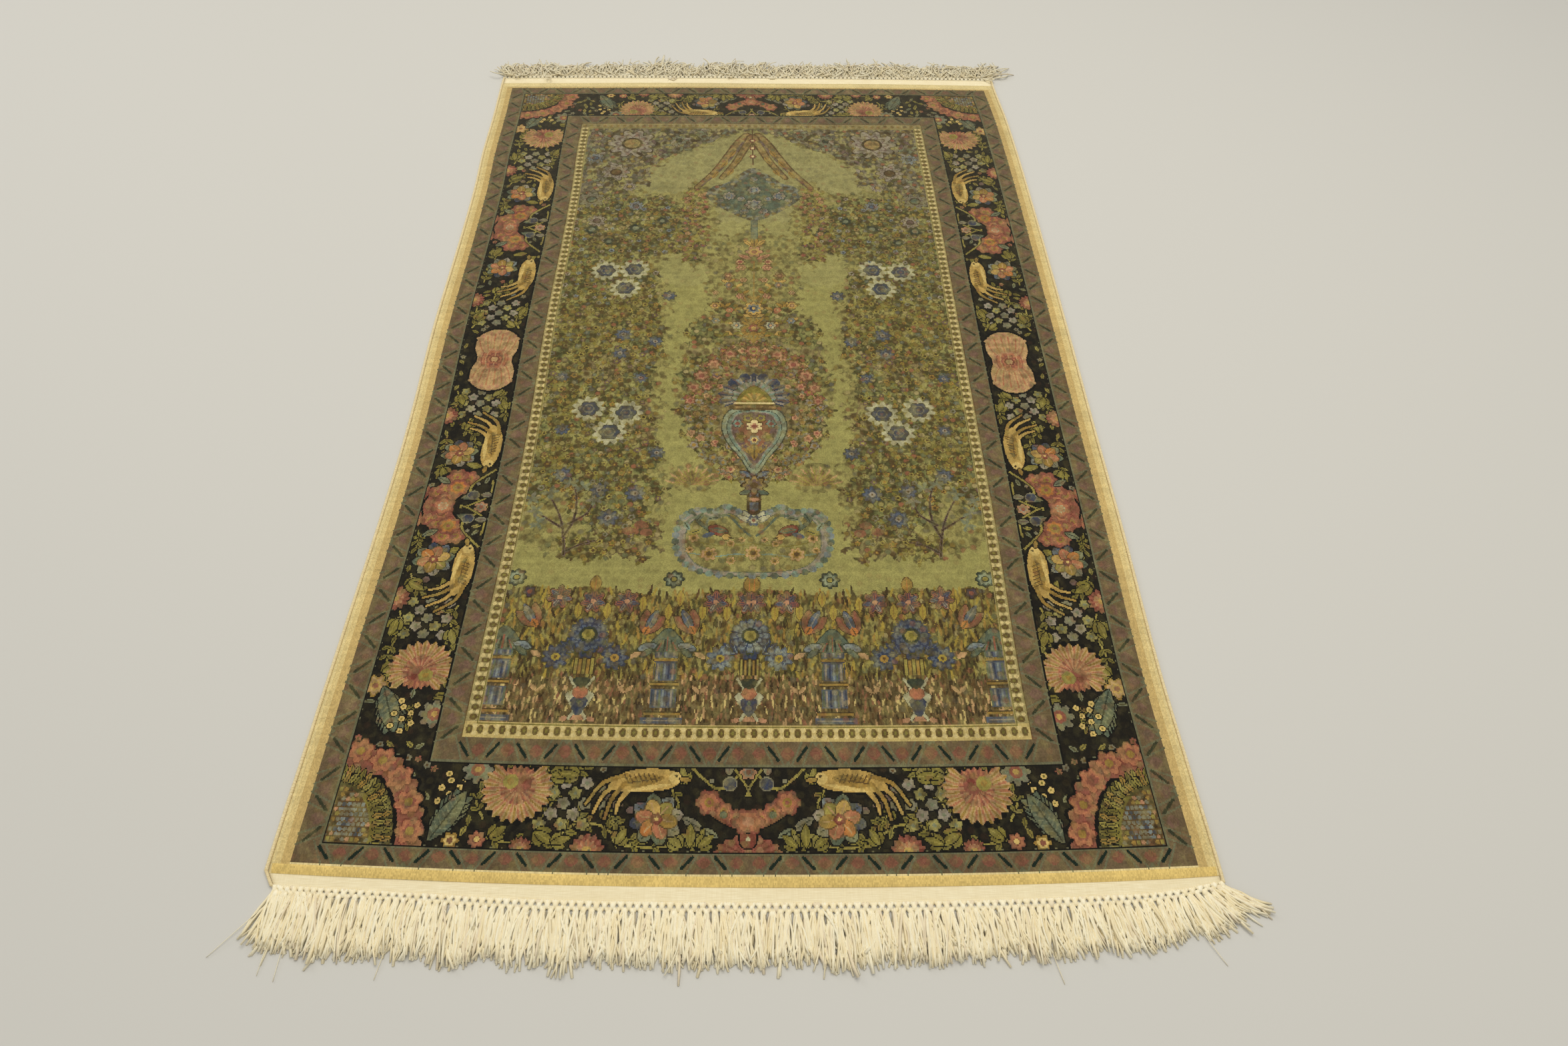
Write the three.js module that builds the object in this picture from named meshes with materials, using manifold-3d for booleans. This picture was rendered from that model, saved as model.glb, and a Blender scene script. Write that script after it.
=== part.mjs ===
// A silk rug lying flat on a floor: one knotted cloth with a flat-woven band at each
// end, an overcast cord along each side, and a knotted warp fringe at each end.
// Millimetres. +X across the rug, +Y along it from the near end, +Z up.

import * as THREE from "three";
import { mergeVertices } from "three/addons/utils/BufferGeometryUtils.js";
import Module from "manifold-3d";

const wasm = await Module();
wasm.setup();

// Thicknesses of the cloth
const PILE_HEIGHT = 4.5;
const PILE_EDGE_HEIGHT = 3.4;
const BAND_HEIGHT = 1.6;

// A faint swell of the pile: its height, and how fast it runs across and along
const SWELL = { height: 0.35, across: 7, along: 10 };

// Lengths beyond the pile
const BAND_LENGTH = 20;
const PILE_STEP = 1.5;
const STRIP_LENGTH = 9;
const STRIP_HEIGHT = 2.4;
const GAP = 0.3;

// The overcast cord along each side
const CORD_WIDTH = 3.6;
const CORD_HEIGHT = 4.0;

// Where the pile ends, across the rug from the left edge (-1) to the right edge (1)
const NEAR_END = { middle: -11, slope: -5, bow: 6 };
const FAR_END = { middle: 1498, slope: 5.5, bow: -4.5 };

// The two side edges as the rug lies, cords included, at parts of its length
const SIDES = [
  { along: 0.0, left: -475, right: 471 },
  { along: 0.08, left: -472, right: 468 },
  { along: 0.16, left: -469, right: 466 },
  { along: 0.29, left: -464, right: 469 },
  { along: 0.4, left: -463, right: 469.5 },
  { along: 0.54, left: -468, right: 471 },
  { along: 0.68, left: -467, right: 471.5 },
  { along: 0.77, left: -468, right: 471 },
  { along: 0.84, left: -472, right: 470 },
  { along: 0.92, left: -472.5, right: 467 },
  { along: 1.0, left: -475, right: 460 },
];

// The fringes. A strand is a three-sided lock that lies on the floor. lean is how far,
// in degrees, a strand turns out to the right at that part of the width (-1 to 1).
const NEAR_FRINGE = {
  name: "fringe_near",
  strands: 150,
  length: 60,
  raggedness: 4,
  sway: 2.2,
  curl: 4,
  root: { width: 4.2, height: 2.0 },
  tip: { width: 2.4, height: 1.4 },
  seed: 11,
  lean: [
    { across: -1.0, turn: -24 },
    { across: -0.9, turn: -12 },
    { across: -0.6, turn: -3 },
    { across: 0.0, turn: 1 },
    { across: 0.6, turn: 6 },
    { across: 0.88, turn: 16 },
    { across: 0.95, turn: 36 },
    { across: 1.0, turn: 64 },
  ],
};
const FAR_FRINGE = {
  name: "fringe_far",
  strands: 120,
  length: 42,
  raggedness: 5,
  sway: 4,
  curl: 16,
  root: { width: 5.0, height: 2.3 },
  tip: { width: 3.2, height: 2.6 },
  seed: 23,
  lean: [
    { across: -1.0, turn: -22 },
    { across: -0.85, turn: -6 },
    { across: 0.0, turn: 2 },
    { across: 0.85, turn: 8 },
    { across: 1.0, turn: 40 },
  ],
};
const STRAND_STATIONS = [0, 0.36, 0.7, 1];
const STRAND_ROOT_DEPTH = 3.5;
const STRAND_EDGE_MARGIN = 3.2;
const EARLY_TURN = 0.55;
const STEEP_TURN = 30;
const STEEP_LENGTH = 0.86;
const WOBBLE = 1.2;

// How fast the unevenness of a fringe runs across the rug
const DRIFT_RATE = 23;
const FINE_DRIFT = { rate: 61, size: 0.6 };
const CURL_RATE = 17;
const LENGTH_RATE = 31;

const COLOURS = {
  pile: { color: 0x8a8450, roughness: 0.75 },
  cord: { color: 0xd9c890, roughness: 0.8 },
  fringe: { color: 0xe4d9b8, roughness: 0.85 },
};

// Helpers

function randomFrom(seed) {
  let state = seed;
  return () => {
    state = (state * 1664525 + 1013904223) % 4294967296;
    return state / 4294967296;
  };
}

// A smooth curve through a short table: the value of column where key equals at
function read(table, key, column, at) {
  const last = table.length - 1;
  let i = 0;
  while (i < last - 1 && at > table[i + 1][key]) i += 1;
  const [a, b, c, d] = [i - 1, i, i + 1, i + 2].map(
    (n) => table[THREE.MathUtils.clamp(n, 0, last)][column],
  );
  const span = table[i + 1][key] - table[i][key];
  const t = THREE.MathUtils.clamp((at - table[i][key]) / span, 0, 1);
  const start = (c - a) / 2;
  const end = (d - b) / 2;
  const t2 = t * t;
  const t3 = t2 * t;
  return (2 * t3 - 3 * t2 + 1) * b + (t3 - 2 * t2 + t) * start + (3 * t2 - 2 * t3) * c + (t3 - t2) * end;
}

function endLine(end, across) {
  return end.middle + end.slope * across + end.bow * across * across;
}

// A place on the laid rug. across is -1 to 1, along is 0 to 1 over the pile, beyond is a
// length past the pile's end, and inset keeps that far inside the outer edge.
function place(across, along, beyond, inset) {
  const left = read(SIDES, "along", "left", along) + inset;
  const right = read(SIDES, "along", "right", along) - inset;
  const near = endLine(NEAR_END, across);
  const far = endLine(FAR_END, across);
  const x = THREE.MathUtils.lerp(left, right, (across + 1) / 2);
  const y = THREE.MathUtils.lerp(near, far, along) + beyond;
  return new THREE.Vector2(x, y);
}

function spread(count, from = -1, to = 1) {
  return Array.from({ length: count }, (_, i) => from + ((to - from) * i) / (count - 1));
}

// A closed sheet that lies on the floor: top[row][column] are its upper points, and each
// has a point of the flat underside straight below it
function layer(top) {
  const rows = top.length;
  const columns = top[0].length;
  const positions = [];
  for (const underside of [false, true]) {
    for (const p of top.flat()) positions.push(p.x, p.y, underside ? 0 : p.z);
  }
  const at = (row, column, under) => row * columns + column + (under ? rows * columns : 0);
  const index = [];
  const quad = (a, b, c, d) => index.push(a, b, c, a, c, d);
  for (let r = 0; r < rows - 1; r += 1) {
    for (let c = 0; c < columns - 1; c += 1) {
      quad(at(r, c), at(r, c + 1), at(r + 1, c + 1), at(r + 1, c));
      quad(at(r, c, 1), at(r + 1, c, 1), at(r + 1, c + 1, 1), at(r, c + 1, 1));
    }
    quad(at(r, 0, 1), at(r, 0), at(r + 1, 0), at(r + 1, 0, 1));
    const e = columns - 1;
    quad(at(r, e), at(r, e, 1), at(r + 1, e, 1), at(r + 1, e));
  }
  for (let c = 0; c < columns - 1; c += 1) {
    quad(at(0, c, 1), at(0, c + 1, 1), at(0, c + 1), at(0, c));
    const e = rows - 1;
    quad(at(e, c), at(e, c + 1), at(e, c + 1, 1), at(e, c, 1));
  }
  return indexed(positions, index);
}

// A closed body through a row of rings with equally many points, capped at both ends
function loft(rings) {
  const sides = rings[0].length;
  const positions = rings.flat().flatMap((p) => [p.x, p.y, p.z]);
  const index = [];
  for (let r = 0; r < rings.length - 1; r += 1) {
    for (let s = 0; s < sides; s += 1) {
      const a = r * sides + s;
      const b = r * sides + ((s + 1) % sides);
      index.push(a, b, b + sides, a, b + sides, a + sides);
    }
  }
  const end = (rings.length - 1) * sides;
  for (let s = 1; s < sides - 1; s += 1) {
    index.push(0, s + 1, s);
    index.push(end, end + s, end + s + 1);
  }
  return indexed(positions, index);
}

function indexed(positions, index) {
  const geometry = new THREE.BufferGeometry();
  geometry.setAttribute("position", new THREE.Float32BufferAttribute(positions, 3));
  geometry.setIndex(index);
  return geometry;
}

function toSolid(geometry) {
  const merged = mergeVertices(geometry, 1e-4);
  const mesh = new wasm.Mesh({
    numProp: 3,
    vertProperties: new Float32Array(merged.attributes.position.array),
    triVerts: new Uint32Array(merged.index.array),
  });
  return new wasm.Manifold(mesh);
}

function toGeometry(solid) {
  const { vertProperties, triVerts } = solid.getMesh();
  return indexed(Array.from(vertProperties), Array.from(triVerts));
}

function mesh(name, geometry, look) {
  const flat = geometry.toNonIndexed();
  flat.computeVertexNormals();
  const made = new THREE.Mesh(flat, new THREE.MeshStandardMaterial({ metalness: 0, ...look }));
  made.name = name;
  return made;
}

// The knotted cloth: pile between the two flat-woven bands, in one piece

function rugCloth() {
  const inset = CORD_WIDTH + GAP;
  const rows = [
    { along: 0, beyond: -BAND_LENGTH, height: BAND_HEIGHT, pile: 0 },
    { along: 0, beyond: -PILE_STEP, height: BAND_HEIGHT, pile: 0 },
    { along: 0, beyond: 0, height: PILE_HEIGHT, pile: 1 },
    ...spread(23, 0.02, 0.98).map((along) => ({ along, beyond: 0, height: PILE_HEIGHT, pile: 1 })),
    { along: 1, beyond: 0, height: PILE_HEIGHT, pile: 1 },
    { along: 1, beyond: PILE_STEP, height: BAND_HEIGHT, pile: 0 },
    { along: 1, beyond: BAND_LENGTH, height: BAND_HEIGHT, pile: 0 },
  ];
  const columns = [-1, -0.996, ...spread(13, -0.94, 0.94), 0.996, 1];
  const top = rows.map((row) =>
    columns.map((across) => {
      const { x, y } = place(across, row.along, row.beyond, inset);
      const swell = SWELL.height * Math.sin(SWELL.across * across + SWELL.along * row.along);
      const rim = Math.abs(across) === 1 ? PILE_EDGE_HEIGHT - PILE_HEIGHT : 0;
      return new THREE.Vector3(x, y, row.height + row.pile * (swell + rim));
    }),
  );
  return layer(top);
}

// The overcast cord on one side, with the flat foot that it rests on

function sideCord(side) {
  const section = [
    { out: -0.28, up: 0 },
    { out: 0.28, up: 0 },
    { out: 0.5, up: 0.3 },
    { out: 0.46, up: 0.72 },
    { out: 0.2, up: 1 },
    { out: -0.2, up: 1 },
    { out: -0.46, up: 0.72 },
    { out: -0.5, up: 0.3 },
  ];
  const steps = [
    { along: 0, beyond: -BAND_LENGTH },
    ...spread(27, 0, 1).map((along) => ({ along, beyond: 0 })),
    { along: 1, beyond: BAND_LENGTH },
  ];
  const rings = steps.map(({ along, beyond }) => {
    const middle = place(side, along, beyond, CORD_WIDTH / 2);
    return section
      .map(({ out, up }) => new THREE.Vector3(middle.x + out * CORD_WIDTH, middle.y, up * CORD_HEIGHT))
      .reverse();
  });
  return loft(rings);
}

// The knotted heading of a fringe: a narrow strip past the woven band. outward is -1 at
// the near end and 1 at the far end.

function headingStrip(outward) {
  const along = outward < 0 ? 0 : 1;
  const start = BAND_LENGTH + GAP;
  const lines = [start, start + STRIP_LENGTH / 2, start + STRIP_LENGTH];
  const heights = [STRIP_HEIGHT * 0.8, STRIP_HEIGHT, STRIP_HEIGHT * 0.9];
  const rows = lines.map((beyond, i) =>
    spread(25).map((across) => {
      const { x, y } = place(across, along, outward * beyond, 0);
      return new THREE.Vector3(x, y, heights[i]);
    }),
  );
  return layer(outward < 0 ? rows.reverse() : rows);
}

// One strand: a root inside the strip, then a lock that bends out to its lean

function strand(fringe, outward, across, random) {
  const along = outward < 0 ? 0 : 1;
  const root = place(across, along, outward * (BAND_LENGTH + GAP + STRIP_LENGTH), STRAND_EDGE_MARGIN);
  const wave = (rate) => Math.sin(rate * across + fringe.seed);
  const drift = wave(DRIFT_RATE) + FINE_DRIFT.size * wave(FINE_DRIFT.rate);
  const turn = read(fringe.lean, "across", "turn", across) + fringe.sway * drift;
  const curl = fringe.curl * wave(CURL_RATE);
  const reach = fringe.length * (Math.abs(turn) > STEEP_TURN ? STEEP_LENGTH : 1);
  const length = reach + fringe.raggedness * (wave(LENGTH_RATE) / 2 + random() - 0.75);
  const wobble = (random() - 0.5) * WOBBLE;

  const rings = [];
  const ring = (x, y, heading, size) => {
    const sideX = Math.cos(heading);
    const sideY = -Math.sin(heading) * outward;
    const half = size.width / 2;
    const points = [
      new THREE.Vector3(x - sideX * half, y - sideY * half, 0),
      new THREE.Vector3(x + sideX * half, y + sideY * half, 0),
      new THREE.Vector3(x, y, size.height),
    ];
    rings.push(outward < 0 ? points : points.reverse());
  };
  ring(root.x, root.y - outward * STRAND_ROOT_DEPTH, 0, fringe.root);

  let { x, y } = root;
  STRAND_STATIONS.forEach((station, i) => {
    const turned = turn * THREE.MathUtils.lerp(EARLY_TURN, 1, station);
    const heading = THREE.MathUtils.degToRad(turned + curl * (station - 0.5));
    if (i > 0) {
      const step = (station - STRAND_STATIONS[i - 1]) * length;
      x += Math.sin(heading) * step + (wobble * step) / length;
      y += Math.cos(heading) * step * outward;
    }
    const size = {
      width: THREE.MathUtils.lerp(fringe.root.width, fringe.tip.width, station),
      height: THREE.MathUtils.lerp(fringe.root.height, fringe.tip.height, station),
    };
    ring(x, y, i > 0 ? heading : 0, size);
  });
  return loft(rings);
}

function fringeWithHeading(fringe, outward) {
  const random = randomFrom(fringe.seed);
  const strands = spread(fringe.strands).map((across) => toSolid(strand(fringe, outward, across, random)));
  const whole = wasm.Manifold.union([toSolid(headingStrip(outward)), ...strands]);
  return toGeometry(whole);
}

const rug = new THREE.Group();
rug.add(mesh("rug_cloth", rugCloth(), COLOURS.pile));
rug.add(mesh("selvedge_left", sideCord(-1), COLOURS.cord));
rug.add(mesh("selvedge_right", sideCord(1), COLOURS.cord));
rug.add(mesh(NEAR_FRINGE.name, fringeWithHeading(NEAR_FRINGE, -1), COLOURS.fringe));
rug.add(mesh(FAR_FRINGE.name, fringeWithHeading(FAR_FRINGE, 1), COLOURS.fringe));

// The origin is under the middle of the whole rug, fringes included
const middle = new THREE.Box3().setFromObject(rug).getCenter(new THREE.Vector3());
rug.position.set(-middle.x, -middle.y, 0);

export default rug;
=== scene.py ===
import math

import bpy
import numpy as np
from mathutils import Matrix, Vector


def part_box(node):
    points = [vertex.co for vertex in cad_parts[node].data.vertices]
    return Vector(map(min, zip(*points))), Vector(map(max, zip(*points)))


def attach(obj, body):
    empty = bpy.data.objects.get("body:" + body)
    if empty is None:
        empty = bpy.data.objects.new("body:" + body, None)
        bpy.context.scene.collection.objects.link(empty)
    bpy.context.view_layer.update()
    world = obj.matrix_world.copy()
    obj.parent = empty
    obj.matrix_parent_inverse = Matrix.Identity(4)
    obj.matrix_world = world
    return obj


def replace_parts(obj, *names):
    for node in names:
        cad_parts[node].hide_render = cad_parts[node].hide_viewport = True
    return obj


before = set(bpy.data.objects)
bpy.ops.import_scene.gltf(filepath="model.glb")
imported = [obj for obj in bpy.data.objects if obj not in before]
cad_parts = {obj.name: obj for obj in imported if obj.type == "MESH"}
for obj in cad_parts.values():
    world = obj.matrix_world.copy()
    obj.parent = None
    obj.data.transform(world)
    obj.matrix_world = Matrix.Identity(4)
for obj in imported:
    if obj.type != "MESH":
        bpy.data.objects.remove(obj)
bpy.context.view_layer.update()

# A silk rug on a plain floor: a woven foundation, a knotted silk pile with its pattern,
# overcast side cords and a knotted fringe at each end. Metres, in the CAD model's frame,
# but every size that is named here is in millimetres.

MM = 0.001

# The cloth: the CAD model's sizes, but with a lower edge to the pile and a lip of gold pile
# at the near end
PILE_HEIGHT = 4.5
PILE_EDGE_HEIGHT = 2.3
BAND_HEIGHT = 1.6
SWELL_HEIGHT, SWELL_ACROSS, SWELL_ALONG = 0.35, 7, 10
BAND_LENGTH = 20
NEAR_LIP = 3.0
GAP = 0.3
CORD_WIDTH = 3.6
CORD_HEIGHT = 4.0

# Where the pile ends, across the rug from its left edge (-1) to its right edge (1):
# the middle, the slope and the bow of the line. The near end sags a little below the CAD model's.
NEAR_SAG = 5.5
NEAR_END = (-11 - NEAR_SAG, -6, 6.4 + NEAR_SAG)
FAR_END = (1498, 5.5, -4.5)

# The side edges as the rug lies, at parts of its length
SIDE_ALONG = (0.0, 0.08, 0.16, 0.29, 0.4, 0.54, 0.68, 0.77, 0.84, 0.92, 1.0)
SIDE_LEFT = (-475, -472, -469, -464, -463, -468, -467, -468, -472, -472.5, -475)
SIDE_RIGHT = (471, 468, 466, 469, 469.5, 471, 471.5, 471, 470, 467, 460)

# How much of its length the near band keeps, at places across the rug: it is drawn in at both
# corners, more so at the right one, and the left corner is pulled inwards as well
DRAWN_IN = ((-1, -0.75, -0.45, 0.45, 0.8, 0.9, 0.96, 1), (0.76, 0.78, 0.93, 0.93, 0.86, 0.74, 0.55, 0.42))
CORNER_PULL, CORNER_REACH = 14, 22


def read(keys, values, at):
    """A smooth curve through a short table, for an array of places"""
    at = np.asarray(at, float)
    keys, values = np.asarray(keys, float), np.asarray(values, float)
    last = len(keys) - 1
    i = np.clip(np.searchsorted(keys, at, side="left") - 1, 0, last - 1)
    a, b, c, d = (values[np.clip(i + n, 0, last)] for n in (-1, 0, 1, 2))
    t = np.clip((at - keys[i]) / (keys[i + 1] - keys[i]), 0, 1)
    start, end = (c - a) / 2, (d - b) / 2
    t2, t3 = t**2, t**3
    return (2 * t3 - 3 * t2 + 1) * b + (t3 - 2 * t2 + t) * start + (3 * t2 - 2 * t3) * c + (t3 - t2) * end


def end_line(end, across):
    """How far along the rug one end of the pile is"""
    return end[0] + end[1] * across + end[2] * across**2


def place(across, along, beyond, inset=0.0):
    """Millimetres on the laid rug: across -1 to 1, along 0 to 1 over the pile, beyond its end"""
    across = np.asarray(across, float)
    beyond = np.where(np.asarray(beyond) < 0, beyond * read(*DRAWN_IN, across), beyond)
    left = read(SIDE_ALONG, SIDE_LEFT, along) + inset
    right = read(SIDE_ALONG, SIDE_RIGHT, along) - inset
    near, far = end_line(NEAR_END, across), end_line(FAR_END, across)
    x = left + (right - left) * (across + 1) / 2
    y = near + (far - near) * along + beyond
    left_corner = np.clip(-across * 8 - 7, 0, 1)
    x = x + CORNER_PULL * np.clip(-beyond / CORNER_REACH, 0, 1) * left_corner
    return x, y


# The CAD model's origin is under the middle of the whole rug, so the places above are shifted
CLOTH_INSET = CORD_WIDTH + GAP
cloth_low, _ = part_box("rug_cloth")
line = np.linspace(-1, 1, 401)
length_of_side = np.linspace(0, 1, 401)
SHIFT_X = cloth_low[0] / MM - place(-1.0, length_of_side, 0, CLOTH_INSET)[0].min()
SHIFT_Y = cloth_low[1] / MM - place(line, 0.0, -BAND_LENGTH)[1].min() - NEAR_SAG


def to_frame(x, y, z):
    """A row of points in metres in the CAD model's frame, from millimetres"""
    x, y, z = np.broadcast_arrays(np.asarray(x, float) + SHIFT_X, np.asarray(y, float) + SHIFT_Y, z)
    return np.stack([x, y, z], axis=-1).reshape(-1, 3) * MM


def mesh_from(name, points, corners, sizes, slot, material):
    """An object of faces, given all their corners in a row and how many each face has"""
    mesh = bpy.data.meshes.new(name)
    corners, sizes = np.asarray(corners, np.int32).ravel(), np.asarray(sizes, np.int32)
    mesh.vertices.add(len(points))
    mesh.vertices.foreach_set("co", np.asarray(points, np.float32).ravel())
    mesh.loops.add(len(corners))
    mesh.loops.foreach_set("vertex_index", corners)
    mesh.polygons.add(len(sizes))
    mesh.polygons.foreach_set("loop_start", np.concatenate([[0], np.cumsum(sizes)[:-1]]).astype(np.int32))
    mesh.update(calc_edges=True)
    mesh.validate()
    mesh.materials.append(material)
    piece = bpy.data.objects.new(name, mesh)
    bpy.context.scene.collection.objects.link(piece)
    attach(piece, "root")
    return piece


def shade_smooth(piece):
    """Round shading on every face"""
    mesh = piece.data
    mesh.polygons.foreach_set("use_smooth", np.ones(len(mesh.polygons), bool))
    mesh.update()


# The knot chart: one colour for each knot of the left half, charted with simple
# shapes in millimetres. x is across from the middle, y is along from the near pile edge.

ABOUT_KNOT_WIDTH = 1.15
KNOT_HEIGHT = 1.45
CHART_HALF = 466.0
CHART_LENGTH = 1500.0
HALF_COLUMNS = round(CHART_HALF / ABOUT_KNOT_WIDTH)
ROWS = round(CHART_LENGTH / KNOT_HEIGHT)
KNOT_WIDTH = CHART_HALF / HALF_COLUMNS
KNOT_X = (np.arange(HALF_COLUMNS) + 0.5) * KNOT_WIDTH - CHART_HALF
KNOT_Y = (np.arange(ROWS) + 0.5) * KNOT_HEIGHT

# Dyes as they look in daylight (red, green and blue from 0 to 255), and how much each is
# broken up by flecks of other yarn (0 to 1)
DYES = {
    "edge_gold": (194, 168, 110, 0.0),
    # the middle gold and the pale one two lines down: painted sheen on the edge's outer rim and far end; the
    # pale one also draws a real pale line along the near guard
    "edge_half_sheen": (212, 191, 134, 0.0),
    # a lighter gold: painted light for the near lip of the pile, which lies in shade
    "edge_near_painted_light": (224, 196, 122, 0.0),
    "edge_pale_and_sheen": (220, 202, 148, 0.0),
    "bush_rose": (122, 108, 72, 0.9),
    "lamp": (114, 118, 108, 0.8),
    "guard": (105, 88, 65, 0.2),
    "guard_rose": (124, 80, 64, 0.2),
    # a greyer copy of the rose lozenges: painted sheen for the far end and sides
    "guard_mauve_sheen": (114, 88, 74, 0.25),
    "guard_green": (104, 104, 80, 0.2),
    "dash": (22, 36, 28, 0.0),
    # lighter dashes: painted sheen for the far end and sides
    "dash_side_sheen": (48, 52, 36, 0.1),
    "black": (23, 21, 17, 0.05),
    "ink": (17, 16, 13, 0.0),
    "bead_ground": (188, 168, 108, 0.1),
    "bead_side": (158, 145, 97, 0.15),
    "bead_far": (146, 133, 90, 0.2),
    "bead_light": (204, 186, 130, 0.1),
    "bead_dark": (98, 80, 43, 0.15),
    "field": (150, 145, 86, 0.14),
    # the middle and far grounds: the same dye painted greyer, as painted sheen towards the far end
    "field_mid_sheen": (150, 145, 90, 0.14),
    "field_far_sheen": (149, 144, 94, 0.2),
    "field_pale": (148, 141, 84, 0.55),
    "bush": (112, 114, 68, 1.0),
    "bush_gold": (128, 120, 62, 0.9),
    "panel_gold": (122, 108, 54, 0.75),
    "soil": (98, 82, 52, 0.3),
    "spandrel": (112, 104, 88, 0.9),
    "gold": (184, 152, 84, 0.2),
    "gold_pale": (204, 177, 108, 0.1),
    "gold_deep": (152, 121, 58, 0.3),
    "cream": (214, 196, 142, 0.1),
    "yellow": (158, 138, 60, 0.15),
    "white": (178, 175, 140, 0.3),
    "rose": (140, 82, 68, 0.3),
    "rose_deep": (116, 58, 48, 0.3),
    "salmon": (172, 111, 81, 0.25),
    "pink": (178, 132, 100, 0.3),
    "peach": (186, 150, 106, 0.3),
    "orange": (178, 114, 60, 0.25),
    "olive": (122, 113, 50, 0.3),
    "olive_pale": (148, 136, 68, 0.3),
    "leaf_dark": (72, 68, 36, 0.2),
    "teal_pale": (116, 122, 98, 0.35),
    "teal": (86, 98, 82, 0.35),
    "teal_dark": (46, 54, 44, 0.2),
    "blue_pale": (122, 132, 132, 0.4),
    "blue": (82, 92, 108, 0.45),
    "blue_deep": (50, 58, 80, 0.3),
    "lilac": (146, 137, 122, 0.35),
    "mauve": (104, 84, 80, 0.35),
    "plum": (72, 58, 68, 0.3),
    "slate": (68, 73, 84, 0.35),
    "crown": (126, 113, 77, 0.6),
    "grey": (120, 117, 98, 0.3),
    "brown": (88, 66, 38, 0.3),
    "brown_dark": (56, 43, 26, 0.2),
    "tan": (148, 122, 76, 0.5),
    "russet": (134, 90, 66, 0.35),
    "pale_green": (142, 152, 126, 0.35),
    "aqua": (120, 140, 124, 0.35),
}
DYE_INDEX = {name: i for i, name in enumerate(DYES)}

knots = np.zeros((ROWS, HALF_COLUMNS), np.uint8)


def polar(turn, reach=1.0):
    """The step across and along that goes reach millimetres in a direction in degrees"""
    return math.cos(math.radians(turn)) * reach, math.sin(math.radians(turn)) * reach


def smooth(points, steps=5):
    """Points along a rounded curve through the given ones"""
    p = np.array(points, float)
    if len(p) < 3:
        return p
    ends = np.vstack([2 * p[0] - p[1], p, 2 * p[-1] - p[-2]])
    t = np.linspace(0, 1, steps, endpoint=False)[:, None]
    out = []
    for i in range(1, len(ends) - 2):
        a, b, c, d = ends[i - 1 : i + 3]
        out.append(
            0.5 * (2 * b + (c - a) * t + (2 * a - 5 * b + 4 * c - d) * t**2 + (3 * b - a - 3 * c + d) * t**3)
        )
    return np.vstack(out + [p[-1:]])


def mirrored(half):
    """A closed outline from its half, which starts and ends on the middle line"""
    return half + [(-x, y) for x, y in half[-2:0:-1]]


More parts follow.
